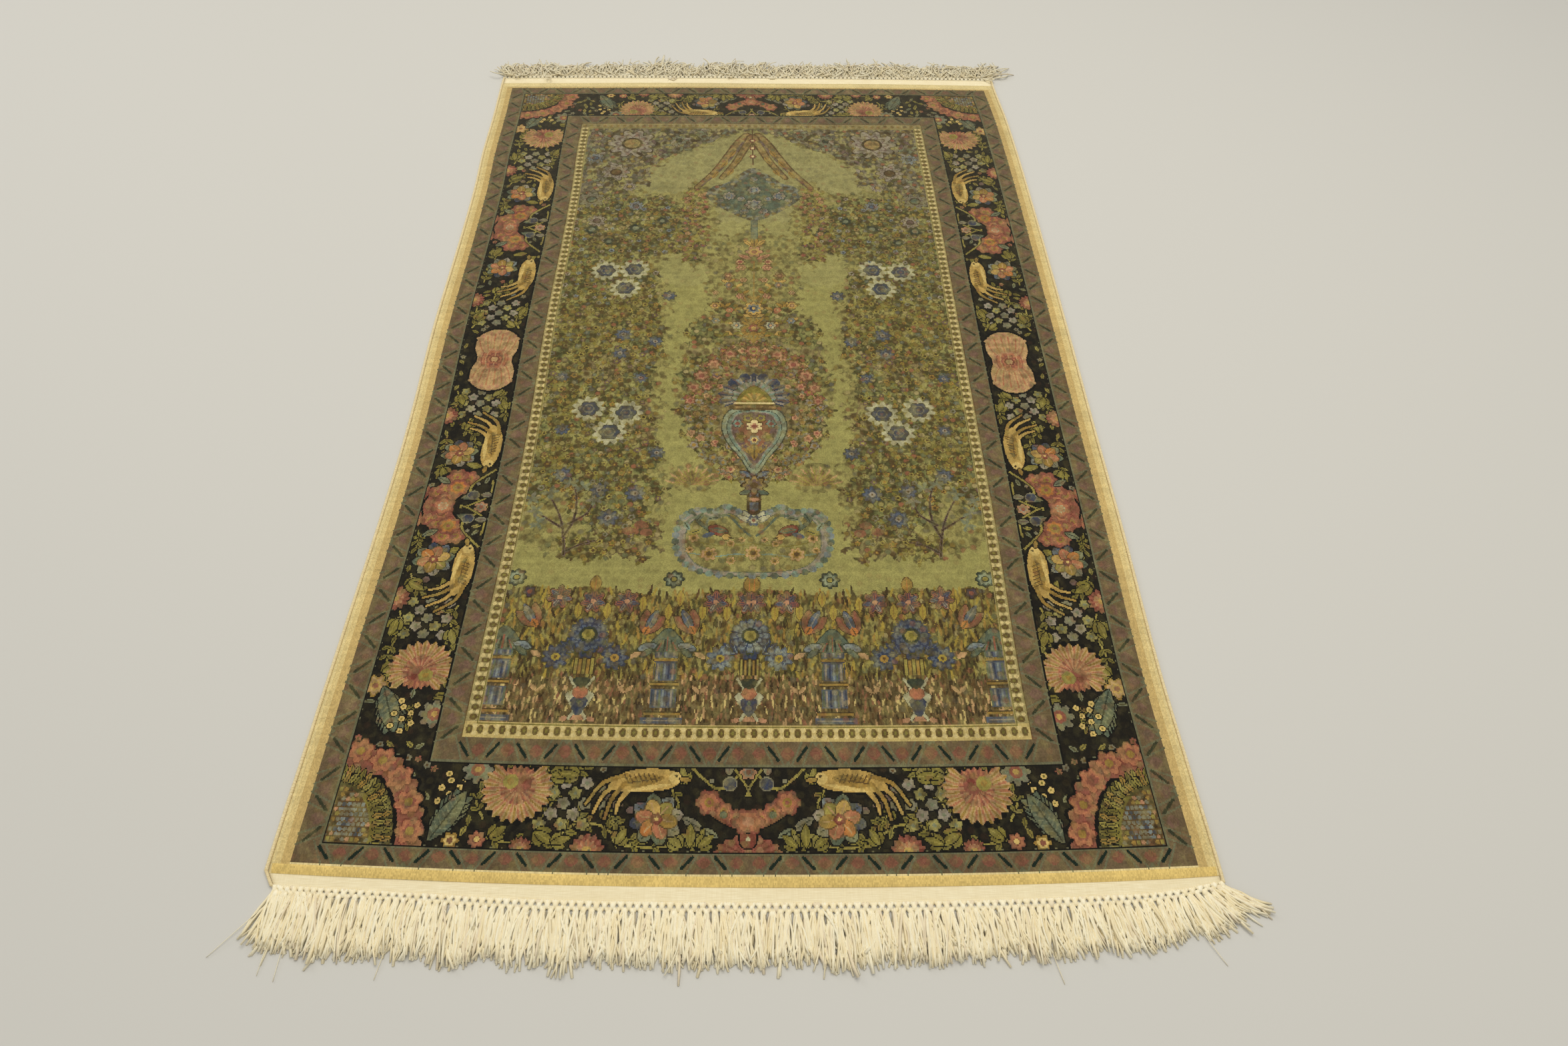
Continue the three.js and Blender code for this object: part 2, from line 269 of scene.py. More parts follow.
class Pen:
    """Draws a motif in its own coordinates, placed, turned (degrees), scaled and mirrored"""

    def __init__(self, x=0.0, y=0.0, turn=0.0, scale=1.0, flip=False):
        self.x, self.y, self.scale = x, y, scale
        self.cos, self.sin = math.cos(math.radians(turn)), math.sin(math.radians(turn))
        self.side = -1.0 if flip else 1.0

    def near(self, low, high):
        """The knots of a box of the motif's own coordinates, and each knot's own place"""
        corners = [
            (a * self.side * self.scale, b * self.scale)
            for a in (low[0], high[0])
            for b in (low[1], high[1])
        ]
        xs = [self.x + a * self.cos - b * self.sin for a, b in corners]
        ys = [self.y + a * self.sin + b * self.cos for a, b in corners]
        c0 = max(0, int((min(xs) + CHART_HALF) / KNOT_WIDTH) - 1)
        c1 = max(0, int((max(xs) + CHART_HALF) / KNOT_WIDTH) + 2)
        r0 = max(0, int(min(ys) / KNOT_HEIGHT) - 1)
        r1 = max(0, int(max(ys) / KNOT_HEIGHT) + 2)
        dx = KNOT_X[c0:c1][None, :] - self.x
        dy = KNOT_Y[r0:r1][:, None] - self.y
        a = (dx * self.cos + dy * self.sin) / self.scale * self.side
        b = (dy * self.cos - dx * self.sin) / self.scale
        return knots[r0:r1, c0:c1], a, b

    def box(self, x0, y0, x1, y1, dye):
        """A rectangle from its near left corner to its far right one"""
        patch, a, b = self.near((x0, y0), (x1, y1))
        patch[(a >= x0) & (a < x1) & (b >= y0) & (b < y1)] = DYE_INDEX[dye]

    def disc(self, x, y, radius, dye, tall=None, turn=0.0, rim=None):
        """An ellipse; rim is the dye and width of a line around it"""
        tall = tall or radius
        if rim:
            self.disc(x, y, radius + rim[1], rim[0], tall + rim[1], turn)
        reach = max(radius, tall)
        patch, a, b = self.near((x - reach, y - reach), (x + reach, y + reach))
        c, s = polar(turn)
        p, q = (a - x) * c + (b - y) * s, (b - y) * c - (a - x) * s
        patch[(p / radius) ** 2 + (q / tall) ** 2 < 1] = DYE_INDEX[dye]

    def bloom(self, x, y, radius, petals, rings, turn=0.0, depth=0.3, rim=None, tall=1.0):
        """A flower of scalloped rings: (share of the radius, dye) from the outside in"""
        if rim:
            self.bloom(x, y, radius + rim[1], petals, [(1.0, rim[0])], turn, depth * 0.8, tall=tall)
        patch, a, b = self.near((x - radius, y - radius), (x + radius, y + radius))
        p, q = a - x, (b - y) / tall
        angle = np.arctan2(q, p) - math.radians(turn)
        edge = 1 - depth * (0.5 - 0.5 * np.cos(petals * angle)) ** 1.5
        away = np.hypot(p, q) / radius
        for share, dye in rings:
            patch[away < share * (edge if share > 0.45 else 1)] = DYE_INDEX[dye]

    def fan(self, x, y, radius, start, end, rays, dyes, depth=0.12, rim=None, tall=1.0):
        """A sector of rays in turn of the given dyes, from start to end in degrees"""
        reach = radius + (rim[1] if rim else 0)
        patch, a, b = self.near((x - reach, y - reach), (x + reach, y + reach))
        p, q = a - x, (b - y) / tall
        angle = (np.degrees(np.arctan2(q, p)) - start) % 360
        span = end - start
        ray = angle / span * rays
        edge = radius * (1 - depth * np.abs(ray % 1 - 0.5) * 2)
        away = np.hypot(p, q)
        inside = angle <= span
        if rim:
            grown = ((angle <= span + 4) | (angle >= 356)) & (away < edge + rim[1])
            patch[grown] = DYE_INDEX[rim[0]]
        for i, dye in enumerate(dyes):
            patch[inside & (away < edge) & (np.floor(ray * len(dyes)) % len(dyes) == i)] = DYE_INDEX[dye]

    def leaf(self, x, y, length, width, turn, dye, vein=None, rim=None, blunt=0.75):
        """A pointed leaf from its foot at (x, y), that grows towards turn (degrees)"""
        c, s = polar(turn)
        if rim:
            grown = rim[1]
            foot_x, foot_y = x - c * grown, y - s * grown
            self.leaf(foot_x, foot_y, length + 2 * grown, width + 2 * grown, turn, rim[0], blunt=blunt * 0.8)
        patch, a, b = self.near((x - length, y - length), (x + length, y + length))
        p, q = ((a - x) * c + (b - y) * s) / length, (b - y) * c - (a - x) * s
        half = width / 2 * np.sin(np.pi * np.clip(p, 0, 1)) ** blunt
        patch[(p > 0) & (p < 1) & (np.abs(q) < half)] = DYE_INDEX[dye]
        if vein:
            patch[(p > 0.1) & (p < 0.85) & (np.abs(q) < 0.65)] = DYE_INDEX[vein]

    def stroke(self, points, width, dye, tip=1.0, rim=None):
        """A rounded line, as wide as width at its start and tip times that at its end"""
        if rim:
            self.stroke(points, width + 2 * rim[1], rim[0], tip)
        line = smooth(points)
        patch, a, b = self.near(line.min(axis=0) - width, line.max(axis=0) + width)
        if not patch.size:
            return
        best = np.full(patch.shape, np.inf)
        total = len(line) - 1
        for i in range(total):
            (x0, y0), (x1, y1) = line[i], line[i + 1]
            dx, dy = x1 - x0, y1 - y0
            t = np.clip(((a - x0) * dx + (b - y0) * dy) / (dx * dx + dy * dy + 1e-9), 0, 1)
            half = width / 2 * (1 + (tip - 1) * (i + t) / total)
            best = np.minimum(best, np.hypot(a - x0 - t * dx, b - y0 - t * dy) - half)
        patch[best < 0] = DYE_INDEX[dye]

    def shape(self, points, dye, rim=None, round_it=True):
        """A closed outline, rounded through its points unless told otherwise"""
        if round_it:
            n = len(points)
            line = smooth([*points[-2:], *points, *points[:2]])[10 : 10 + 5 * n]
        else:
            line = np.array(points, float)
        if rim:
            self.stroke(np.vstack([points, points[:1]]), 2 * rim[1], rim[0])
        patch, a, b = self.near(line.min(axis=0), line.max(axis=0))
        inside = np.zeros(patch.shape, bool)
        for (x0, y0), (x1, y1) in zip(line, np.roll(line, -1, axis=0)):
            crosses = (b < y0) != (b < y1)
            inside ^= crosses & (a < x0 + (b - y0) * (x1 - x0) / (y1 - y0 + 1e-12))
        patch[inside] = DYE_INDEX[dye]

    def at(self, x, y, turn=0.0, scale=1.0, flip=False):
        """A pen for a smaller motif that is placed in this one's coordinates"""
        a, b = x * self.side * self.scale, y * self.scale
        pen = Pen(self.x + a * self.cos - b * self.sin, self.y + a * self.sin + b * self.cos)
        own = math.radians(turn) * self.side
        pen.cos = self.cos * math.cos(own) - self.sin * math.sin(own)
        pen.sin = self.sin * math.cos(own) + self.cos * math.sin(own)
        pen.scale = self.scale * scale
        pen.side = -self.side if flip else self.side
        return pen

    def halves(self):
        """This pen and its mirror image, for a motif whose two sides are alike"""
        return [self.at(0, 0), self.at(0, 0, flip=True)]


rug = Pen()


# The borders of the far half are a little narrower, and a side border's far half is longer
FAR_SQUASH = 0.88
FAR_STRETCH = 1.14
BORDER_MIDDLE = 735

# The bands of the chart, from the pile edge inwards: (near, far, half width)
OUTER_GUARD = (9, 1478, 447)
MAIN_BORDER = (31, 1456, 420)
INNER_GUARD = (121, 1381, 334)
BEAD_GUARD = (150, 1355, 306)
FIELD = (167.5, 1339, 291)


def band(limits, dye):
    """A whole rectangle of the chart"""
    near, far, half = limits
    rug.box(-half, near, half, far, dye)


def frame_band(outer, inner, dye):
    """Only the ring between two rectangles"""
    for low, high in ((outer[0], inner[0]), (inner[1], outer[1])):
        rug.box(-outer[2], low, 0, high, dye)
    rug.box(-outer[2], outer[0], -inner[2], outer[1], dye)


def grow(limits, by):
    """A rectangle that is larger all round"""
    return (limits[0] - by, limits[1] + by, limits[2] + by)


# A guard stripe: a zigzag of grey-green lines with a dark dash in each, and rose lozenges
# between. The near run stops short of the middle, so that two lozenges meet there.

GUARD_PITCH = 32.0
GUARD_GAP = 11.0
BEAD_PITCH = 11.7


def guard_run(pen, length, height, lozenge, dash, slant):
    """Along the pen's own x axis from 0 to length, centred on its y axis"""
    count = round(length / GUARD_PITCH)
    pitch = length / count
    half = height / 2
    for i in range(count):
        x = (i + 0.5) * pitch
        lean = 1 if i % 2 else -1
        gap = x + pitch / 2
        pen.shape([(gap - 7, 0), (gap, half * 0.52), (gap + 7, 0), (gap, -half * 0.52)], lozenge)
        for side in (-1, 1):
            foot = (x - lean * 6 + side * 5.6, -half)
            head = (x + lean * 6 + side * 5.6, half)
            pen.stroke([foot, head], 2.1, "guard_green")
        pen.stroke([(x - lean * slant, -half * 0.5), (x + lean * slant, half * 0.5)], 3.3, dash)
        foot = lean * half
        pen.shape([(gap - 5, foot), (gap + 5, foot), (gap, foot * 0.55)], "guard_green", round_it=False)


def guard(limits, inner):
    """A guard stripe between two rectangles, with a grey-green line along its darker side"""
    frame_band(limits, inner, "guard")
    near, far, half = limits
    deep = inner[0] - near
    start = -half + deep * 0.6
    guard_run(Pen(start, (near + inner[0]) / 2), -start - GUARD_GAP, deep, "guard_rose", "dash", 5)
    # The far and side runs have greyer mauve lozenges and lighter dashes than the near run: painted sheen
    guard_run(Pen(start, (far + inner[1]) / 2), -start, far - inner[1], "guard_mauve_sheen", "dash_side_sheen", 6)
    beside = Pen(-(half + inner[2]) / 2, near + deep * 0.6, 90)
    guard_run(beside, far - near - 1.2 * deep, half - inner[2], "guard_mauve_sheen", "dash_side_sheen", 7)


def bead_run(pen, length, height, light, ring="bead_dark"):
    """Olive rings side by side, and a pale spot at both ends of each gap"""
    count = round(length / BEAD_PITCH)
    pitch = length / count
    for i in range(count):
        x = (i + 0.5) * pitch
        for side in (-1, 1):
            pen.disc(x + pitch / 2, side * height * 0.24, 2.5, light, tall=height * 0.17)
        pen.disc(x, 0, 3.5, ring, tall=height * 0.31)
        pen.disc(x, 0, 1.4, "olive", tall=height * 0.12)


def bead_guard(limits, inner):
    """The row of beads around the field, paler along the near end"""
    near, far, half = limits
    near_deep, far_deep, side_deep = inner[0] - near, far - inner[1], half - inner[2]
    frame_band(grow(limits, 1.2), limits, "brown")
    frame_band(limits, inner, "bead_side")
    rug.box(-half, near, 0, inner[0], "bead_ground")
    rug.box(-half, inner[1], 0, far, "bead_far")
    bead_run(Pen(-half, near + near_deep / 2), half, near_deep, "bead_light")
    bead_run(Pen(-half, far - far_deep / 2), half, far_deep, "bead_far", "tan")
    bead_run(Pen(-half + side_deep / 2, inner[0], 90), inner[1] - inner[0], side_deep, "bead_light")
    frame_band(grow(inner, 2.2), grow(inner, 1.1), "olive")


# Motifs of the main border, each around its own origin


def sunflower(pen):
    """A palmette of narrow petals that fan out from a heart low on its disc"""
    pen.bloom(0, 0, 34, 18, [(1.0, "ink")], depth=0.1)
    pen.fan(0, -6, 38, -52, 232, 17, ["salmon", "peach", "gold_deep", "peach"], depth=0.16, tall=0.98)
    pen.fan(0, -6, 27, 232, 308, 5, ["rose", "salmon"], depth=0.14, tall=0.98)
    pen.fan(0, -8, 20, -60, 240, 13, ["salmon", "pink", "rose"], depth=0.1)
    pen.disc(-4, -12, 10, "rose")
    pen.disc(8, -14, 8, "olive_pale")
    pen.disc(8, -14, 3.4, "gold_deep")
    pen.disc(-5, -16, 4, "rose_deep")


def gold_bird(pen):
    """A plump bird bent like a crescent, that looks along +x"""
    body = [
        (37, 1), (31, 9), (10, 13), (-12, 12), (-28, 6), (-38, -6), (-26, -11), (-4, -12), (18, -11),
        (32, -6),
    ]
    tails = (
        ([(-20, 6), (-44, -2), (-60, -24)], "gold_deep"), ([(-24, 0), (-42, -14), (-52, -34)], "gold"),
        ([(-22, -4), (-34, -20), (-40, -40)], "gold_deep"), ([(-16, -8), (-26, -22), (-29, -35)], "gold"),
    )
    for points, dye in tails:
        pen.stroke(points, 9.0, "ink", tip=0.7)
    pen.shape(body, "gold", rim=("ink", 2.2))
    for points, dye in tails:
        pen.stroke(points, 5.6, dye, tip=0.5)
    pen.leaf(20, 3, 46, 13, 188, "gold_deep", vein="brown")
    for i in range(7):
        pen.stroke([(-18 + i * 5, -1), (-22 + i * 5, 7)], 1.5, "brown")
    pen.leaf(26, -5, 44, 5, 188, "gold_pale")
    pen.disc(31, 2, 6.6, "gold_pale")
    pen.leaf(35, 1, 13, 5.5, -10, "gold_deep", rim=("ink", 1))
    pen.disc(32, 4.5, 1.7, "brown_dark")


def cluster(pen, radius):
    """A flower with gold and salmon petals in a ring of broad grey, blue and green leaves"""
    pen.bloom(0, 0, radius * 0.9, 8, [(1.0, "ink")], depth=0.1)
    for i, dye in enumerate(("lilac", "blue_pale", "teal", "blue", "blue_deep", "teal_pale", "teal", "grey")):
        turn = i * 45 + 12
        foot = polar(turn, radius * 0.22)
        pen.leaf(*foot, radius * 0.84, radius * 0.6, turn, dye, vein="teal_dark", rim=("ink", 0.9), blunt=0.6)
    for i, dye in enumerate(("olive_pale", "gold", "salmon", "orange", "salmon", "gold_deep")):
        turn = i * 60 + 50
        foot = polar(turn, 2)
        pen.leaf(*foot, radius * 0.74, radius * 0.56, turn, dye, vein="peach", rim=("brown", 0.9), blunt=0.55)
    pen.bloom(0, 0, radius * 0.26, 5, [(1.0, "rose_deep"), (0.7, "rose"), (0.3, "gold_pale")], depth=0.2)


def carnation(pen, radius):
    """A small pink flower with a toothed edge"""
    rings = [(1.0, "rose"), (0.86, "salmon"), (0.46, "rose_deep"), (0.3, "gold_pale")]
    pen.bloom(0, 0, radius, 7, rings, depth=0.26, rim=("ink", 1.6))


def slim_heart(pen):
    """Two slim arms of pink flowers over a low fan, on a black ground"""
    pen.shape([(-68, 2), (-66, 56), (-50, 72), (0, 54), (50, 72), (66, 56), (68, 2)], "black")
    pen.fan(0, -4, 36, 0, 180, 9, ["rose_deep", "rose", "rose"], depth=0.14, rim=("ink", 1.6), tall=0.62)
    pen.stroke([(0, 12), (0, 26)], 17, "rose_deep", rim=("ink", 1.4))
    rings = [(1.0, "rose_deep"), (0.93, "rose"), (0.7, "salmon"), (0.34, "gold_deep"), (0.16, "rose")]
    for own in pen.halves():
        own.stroke([(0, 28), (-20, 36), (-38, 48)], 17, "rose_deep", rim=("ink", 1.6))
        for x, y, radius in ((-40, 51, 14.5), (-25, 42, 10), (-13, 34, 10)):
            own.bloom(x, y, radius, 6, rings, turn=x * 3, depth=0.2)
        own.disc(-25, 38, 3.6, "teal", rim=("brown", 0.8))
        own.leaf(-46, 22, 24, 10, 148, "grey", vein="teal_dark", rim=("ink", 1))
        own.leaf(-30, 14, 20, 8, 150, "teal_pale", vein="teal_dark", rim=("ink", 1))
        serrated(own, -52, 3, 22, 70)
        serrated(own, -50, 3, 18, 130)
    pen.bloom(
        0, 31, 18, 6, [(1.0, "rose_deep"), (0.92, "rose"), (0.72, "salmon"), (0.34, "pink")], depth=0.2,
        tall=0.8,
    )
    pen.disc(0, 13, 2.4, "white")


def heart(pen):
    """A thick wedge of pink flowers over a fan, that opens along +y, on a black ground"""
    pen.shape(
        [(-70, 50), (-68, 96), (-30, 100), (0, 78), (30, 100), (68, 96), (70, 50), (34, 0), (-34, 0)],
        "black",
    )
    pen.fan(
        0, -3, 34, 0, 180, 7, ["rose_deep", "rose", "salmon", "rose"], depth=0.2, rim=("ink", 1.8),
        tall=0.66,
    )
    arms = [(-2, 18), (-15, 23), (-29, 32), (-41, 40)]
    for wider, dye in ((5, "ink"), (0, "rose")):
        for own in pen.halves():
            own.stroke(arms, 33 + wider, dye)
    rings = [(1.0, "rose_deep"), (0.94, "rose"), (0.6, "salmon"), (0.34, "gold_deep"), (0.16, "rose")]
    for own in pen.halves():
        for x, y, radius in (
            (-22, 15, 12), (-47, 51, 13), (-48, 35, 15), (-33, 43, 13), (-28, 26, 14), (-12, 27, 13),
        ):
            own.bloom(x, y, radius, 6, rings, turn=x * 3, depth=0.2)
        middle = [(1.0, "rose_deep"), (0.93, "rose"), (0.7, "orange"), (0.44, "gold_deep"), (0.18, "rose")]
        own.bloom(-31, 39, 15, 7, middle, depth=0.2)
        own.leaf(-14, 46, 22, 9, 104, "teal", vein="teal_pale", rim=("ink", 1))
        own.leaf(-48, 10, 20, 9, 60, "teal_pale", vein="teal_dark", rim=("ink", 1))
        own.leaf(-72, 42, 22, 10, 76, "olive", vein="olive_pale", rim=("ink", 1))
    pen.bloom(0, 26, 16, 6, [(1.0, "rose_deep"), (0.92, "rose"), (0.74, "salmon"), (0.4, "pink")], depth=0.2)
    for i in range(7):
        x, y = polar(i * 51.4, 5.5)
        pen.disc(x, 26 + y, 1.2, "white")


def lattice(pen):
    """Crossing stems above a heart, with grey buds between them"""
    for own in pen.halves():
        own.stroke([(-62, 92), (-44, 74), (-26, 66), (0, 92)], 3.0, "olive_pale", rim=("ink", 0.8))
        own.stroke([(-44, 92), (-20, 92), (-4, 72), (2, 58)], 2.6, "olive_pale", rim=("ink", 0.8))
        own.disc(-19, 71, 6.4, "blue_deep", rim=("grey", 1.6))
        own.leaf(-20, 80, 15, 9, 90, "grey", vein="mauve", rim=("ink", 1.2))
        own.disc(-38, 74, 2.6, "grey", rim=("ink", 1))
    pen.bloom(0, 84, 9, 6, [(1.0, "pink"), (0.6, "lilac"), (0.3, "rose")], rim=("ink", 1))


def half_flower(pen, radius):
    """Half a rose flower that stands on a border's edge, open along +y"""
    pen.fan(0, 0, radius, 0, 180, 7, ["rose", "rose", "rose_deep"], depth=0.2, rim=("ink", 1.6))
    pen.fan(0, 0, radius * 0.62, 0, 180, 5, ["salmon", "pink"], depth=0.2)
    pen.disc(0, 0, radius * 0.25, "gold")


def grey_dots(pen, rows=3, pitch=22.0, dyes=("grey", "field_pale", "lilac")):
    """Five-lobed blossoms set in diagonal rows"""
    for i in range(-rows, rows + 1):
        for j in range(-rows, rows + 1):
            if abs(i) + abs(j) < rows:
                x, y = (i + j) * pitch / 2, (i - j) * pitch / 2
                dye = dyes[(i + 2 * j) % len(dyes)]
                pen.bloom(
                    x, y, pitch * 0.32, 5, [(1.0, dye), (0.3, "teal_pale")], turn=i * 31, depth=0.26,
                    rim=("ink", 1),
                )


def cream_dots(pen):
    """A loose bunch of pale dots, each with a dark middle"""
    spread = 1.2
    for x, y in ((0, 16), (8, 10), (-7, 9), (1, 4), (10, 0), (-8, -3), (2, -8), (-3, 22), (12, 18)):
        pen.disc(x * spread, y * spread, 3.3, "gold_pale", rim=("ink", 1))
        pen.disc(x * spread, y * spread, 1.2, "olive")


def leafy(pen, points, leaves, size=13):
    """A stem with pairs of leaves along it and one at its end"""
    line = smooth(points)
    looks = {"dye": "olive", "vein": "leaf_dark", "rim": ("ink", 0.8)}
    pen.stroke(points, 2.4, "olive_pale", rim=("ink", 0.9))
    for i in range(leaves):
        at = int((i + 0.5) / leaves * (len(line) - 2)) + 1
        (x0, y0), (x1, y1) = line[at - 1], line[at + 1]
        along = math.degrees(math.atan2(y1 - y0, x1 - x0))
        for side in (1, -1):
            pen.leaf(*line[at], size, size * 0.46, along + side * 48, **looks)
    (x0, y0), (x1, y1) = line[-2], line[-1]
    pen.leaf(x1, y1, size, size * 0.5, math.degrees(math.atan2(y1 - y0, x1 - x0)), **looks)


def feathery(pen, length, width):
    """A plump serrated leaf along +x, like a folded wing"""
    for i in range(6):
        at = length * (0.08 + 0.14 * i)
        size = width * (0.95 - 0.1 * abs(i - 2))
        for side in (-1, 1):
            pen.leaf(at, 0, size, 7.5, side * 38, "teal", rim=("ink", 1.4))
    pen.leaf(-4, 0, length + 8, width * 0.8, 0, "teal", rim=("ink", 0.8))
    for i in range(7):
        at = length * (0.08 + 0.12 * i)
        for side in (-1, 1):
            pen.stroke([(at, 0), (at + 5, side * width * 0.3)], 1.4, "teal_pale")
    pen.stroke([(0, 0), (length * 0.9, 0)], 1.6, "teal_dark")


def corner(pen):
    """Quarter rings of the corner: a speckled quarter, a ring of leaves, a flowered arch"""
    rings = (
        (101, 117, "ink", 40), (97, 113, "rose", 40), (70, 87, "ink", 2), (66, 83, "leaf_dark", 2),
        (50, 68, "olive", 2),
    )
    for across, along, dye, lobes in rings:
        pen.bloom(0, 0, across, lobes, [(1.0, dye)], depth=0.05 if lobes > 2 else 0.0, tall=along / across)
    for i in range(5):
        turn = math.radians(8 + i * 18.5)
        x, y = math.cos(turn) * 83, math.sin(turn) * 99
        middle = "rose" if i == 2 else "gold_deep"
        rings = [(1.0, "rose_deep"), (0.9, "salmon"), (0.5, "rose"), (0.3, middle)]
        pen.bloom(x, y, 15, 6, rings, turn=i * 20, depth=0.26)
    for i in range(15):
        turn = math.radians(i * 92 / 14)
        for j, (across, along, size) in enumerate(((46, 62, 13), (54, 71, 12))):
            wave = math.radians(3.2 * j)
            x, y = math.cos(turn + wave) * across, math.sin(turn + wave) * along
            dye = ("olive_pale", "gold_deep", "olive")[(i + j) % 3]
            pen.leaf(
                x, y, size, 5.6, math.degrees(turn) + (12 if j else -12), dye, vein="leaf_dark",
                rim=("ink", 0.7),
            )
    pen.disc(0, 0, 43, "brown", tall=59)
    for i in range(9):
        for j in range(11):
            x, y = 3 + i * 4.8 + (j % 2) * 2.4, 3 + j * 5.2
            inside = (x / 42) ** 2 + (y / 58) ** 2
            if inside < 1:
                cool = ("blue_pale", "grey", "slate", "grey", "blue_pale")
                warm = ("olive_pale", "brown_dark", "pink", "gold_deep", "grey")
                pen.disc(x, y, 2.2, (cool if 6 < x < 36 and 8 < y < 44 else warm)[(i * 3 + j * 2) % 5])


def palmette_pair(pen):
    """Two fans set foot to foot, of many narrow pink petals"""
    outline = [
        (-24, 0), (-30, 22), (-28, 46), (-14, 60), (0, 63), (14, 60), (28, 46), (30, 22), (24, 0),
        (30, -22), (28, -46), (14, -60), (0, -63), (-14, -60), (-28, -46), (-30, -22),
    ]
    pen.shape([(x * 1.1, y * 1.05) for x, y in outline], "ink")
    pen.shape(outline, "peach")
    for side in (-1, 1):
        for i in range(-5, 6):
            reach = 60 - 0.55 * i * i
            tip = (i * 5.6, side * reach)
            middle = (i * 4.4, side * reach * 0.5)
            pen.stroke([(i * 2.2, side * 4), middle, tip], 1.7, "salmon" if i % 2 else "pink")
            pen.disc(i * 5.6, side * (reach - 3), 3.2, "peach" if i % 2 else "pink")
    pen.bloom(
        0, 0, 25, 10, [(1.0, "pink"), (0.84, "salmon"), (0.6, "rose"), (0.4, "salmon")], depth=0.2,
        tall=0.9,
    )
    for i in range(-3, 4):
        pen.stroke([(i * 5.4, -14), (i * 6.2, 0), (i * 5.4, 14)], 1.4, "rose" if i % 2 else "peach")
    pen.bloom(0, 0, 8, 6, [(1.0, "rose_deep"), (0.7, "peach")], depth=0.2)


def serrated(pen, x, y, size, turn):
    """A broad leaf of three points"""
    for part, length, vein in ((-34, 0.72, None), (34, 0.72, None), (0, 1, "olive_pale")):
        pen.leaf(x, y, size * length, size * 0.4, turn + part, "olive", vein=vein, rim=("ink", 0.9))


def fill_ground(low, high, spacing, random):
    """Small leaves and buds wherever the black ground is still bare"""
    rows = int((high[1] - low[1]) / spacing)
    columns = int((high[0] - low[0]) / spacing)
    for row in range(rows):
        for column_at in range(columns):
            x = low[0] + (column_at + 0.5 + 0.3 * float(random.uniform(-1, 1))) * spacing
            y = low[1] + (row + 0.5 + 0.3 * float(random.uniform(-1, 1))) * spacing
            turn, kind = float(random.uniform(0, 360)), int(random.integers(9))
            around = [
                (x + math.cos(a) * spacing * 0.42, y + math.sin(a) * spacing * 0.42)
                for a in (0, 1.6, 3.1, 4.7)
            ]
            spots = [(int(b / KNOT_HEIGHT), int((a + CHART_HALF) / KNOT_WIDTH)) for a, b in [(x, y), *around]]
            if not all(
                0 <= r < ROWS and 0 <= c < HALF_COLUMNS and knots[r, c] == DYE_INDEX["black"]
                for r, c in spots
            ):
                continue
            if kind < 5:
                dye = ("olive", "olive_pale", "teal_pale", "olive_pale", "olive")[kind]
                foot_x, foot_y = polar(turn, spacing * 0.5)
                rug.leaf(x - foot_x, y - foot_y, spacing * 1.05, spacing * 0.46, turn, dye, vein="leaf_dark")
            elif kind < 7:
                petal = ("grey", "rose")[kind - 5]
                rug.bloom(x, y, spacing * 0.36, 5, [(1.0, petal), (0.4, "brown")], turn=turn)


# The near and far borders are alike; a side border has more room

CORNER_BLOSSOM = [(1.0, "grey"), (0.8, "teal_pale"), (0.45, "rose"), (0.2, "gold")]


def end_border(pen):
    """From the left corner to the middle, growing up from the outer edge"""
    for leaves, size, points in (
        (5, 13, [(-262, 10), (-240, 6), (-205, 8), (-180, 22), (-172, 40)]),
        (5, 13, [(-262, 84), (-240, 82), (-215, 84), (-190, 80), (-172, 86)]),
        (4, 12, [(-176, 26), (-150, 26), (-128, 12), (-112, 10)]),
        (3, 11, [(-150, 50), (-140, 34), (-130, 26)]),
        (4, 12, [(-126, 6), (-100, 4), (-76, 6), (-60, 14)]),
        (4, 10, [(-80, 66), (-72, 52), (-66, 36), (-70, 22)]),
        (3, 11, [(-210, 30), (-200, 50), (-204, 66)]),
        (3, 10, [(-268, 30), (-278, 50), (-270, 66)]),
    ):
        leafy(pen, points, leaves, size)
    grey_dots(pen.at(-189, 48))
    grey_dots(pen.at(-142, 56), 2, 17, ("mauve", "grey"))
    pen.disc(-120, 42, 4, "mauve", rim=("ink", 1))
    pen.disc(-112, 30, 4, "teal_pale", rim=("ink", 1))
    cream_dots(pen.at(-307, 50))
    feathery(pen.at(-316, 8, 62), 52, 26)
    pen.bloom(-282, 82, 16, 8, CORNER_BLOSSOM, rim=("ink", 1.4))
    carnation(pen.at(-270, 8), 9)
    pen.bloom(-296, 6, 9, 6, [(1.0, "gold_deep"), (0.7, "gold_pale"), (0.35, "rose")], rim=("ink", 1.2))
    slim_heart(pen)
    lattice(pen)
    half_flower(pen.at(-160, 0), 18)
    half_flower(pen.at(-226, 0), 12)
    for x, y, size, turn in (
        (-58, 4, 24, 90), (-66, 4, 20, 140), (-50, 4, 20, 40), (-206, 78, 24, 8), (-176, 78, 22, 172),
        (-214, 18, 24, -30), (-196, 6, 20, 20), (-132, 6, 20, 60), (-258, 10, 20, 40), (-66, 70, 20, 100),
    ):
        serrated(pen, x, y, size, turn)
    sunflower(pen.at(-238, 56, 180))
    cluster(pen.at(-93, 33), 26)
    gold_bird(pen.at(-107, 74, 2))


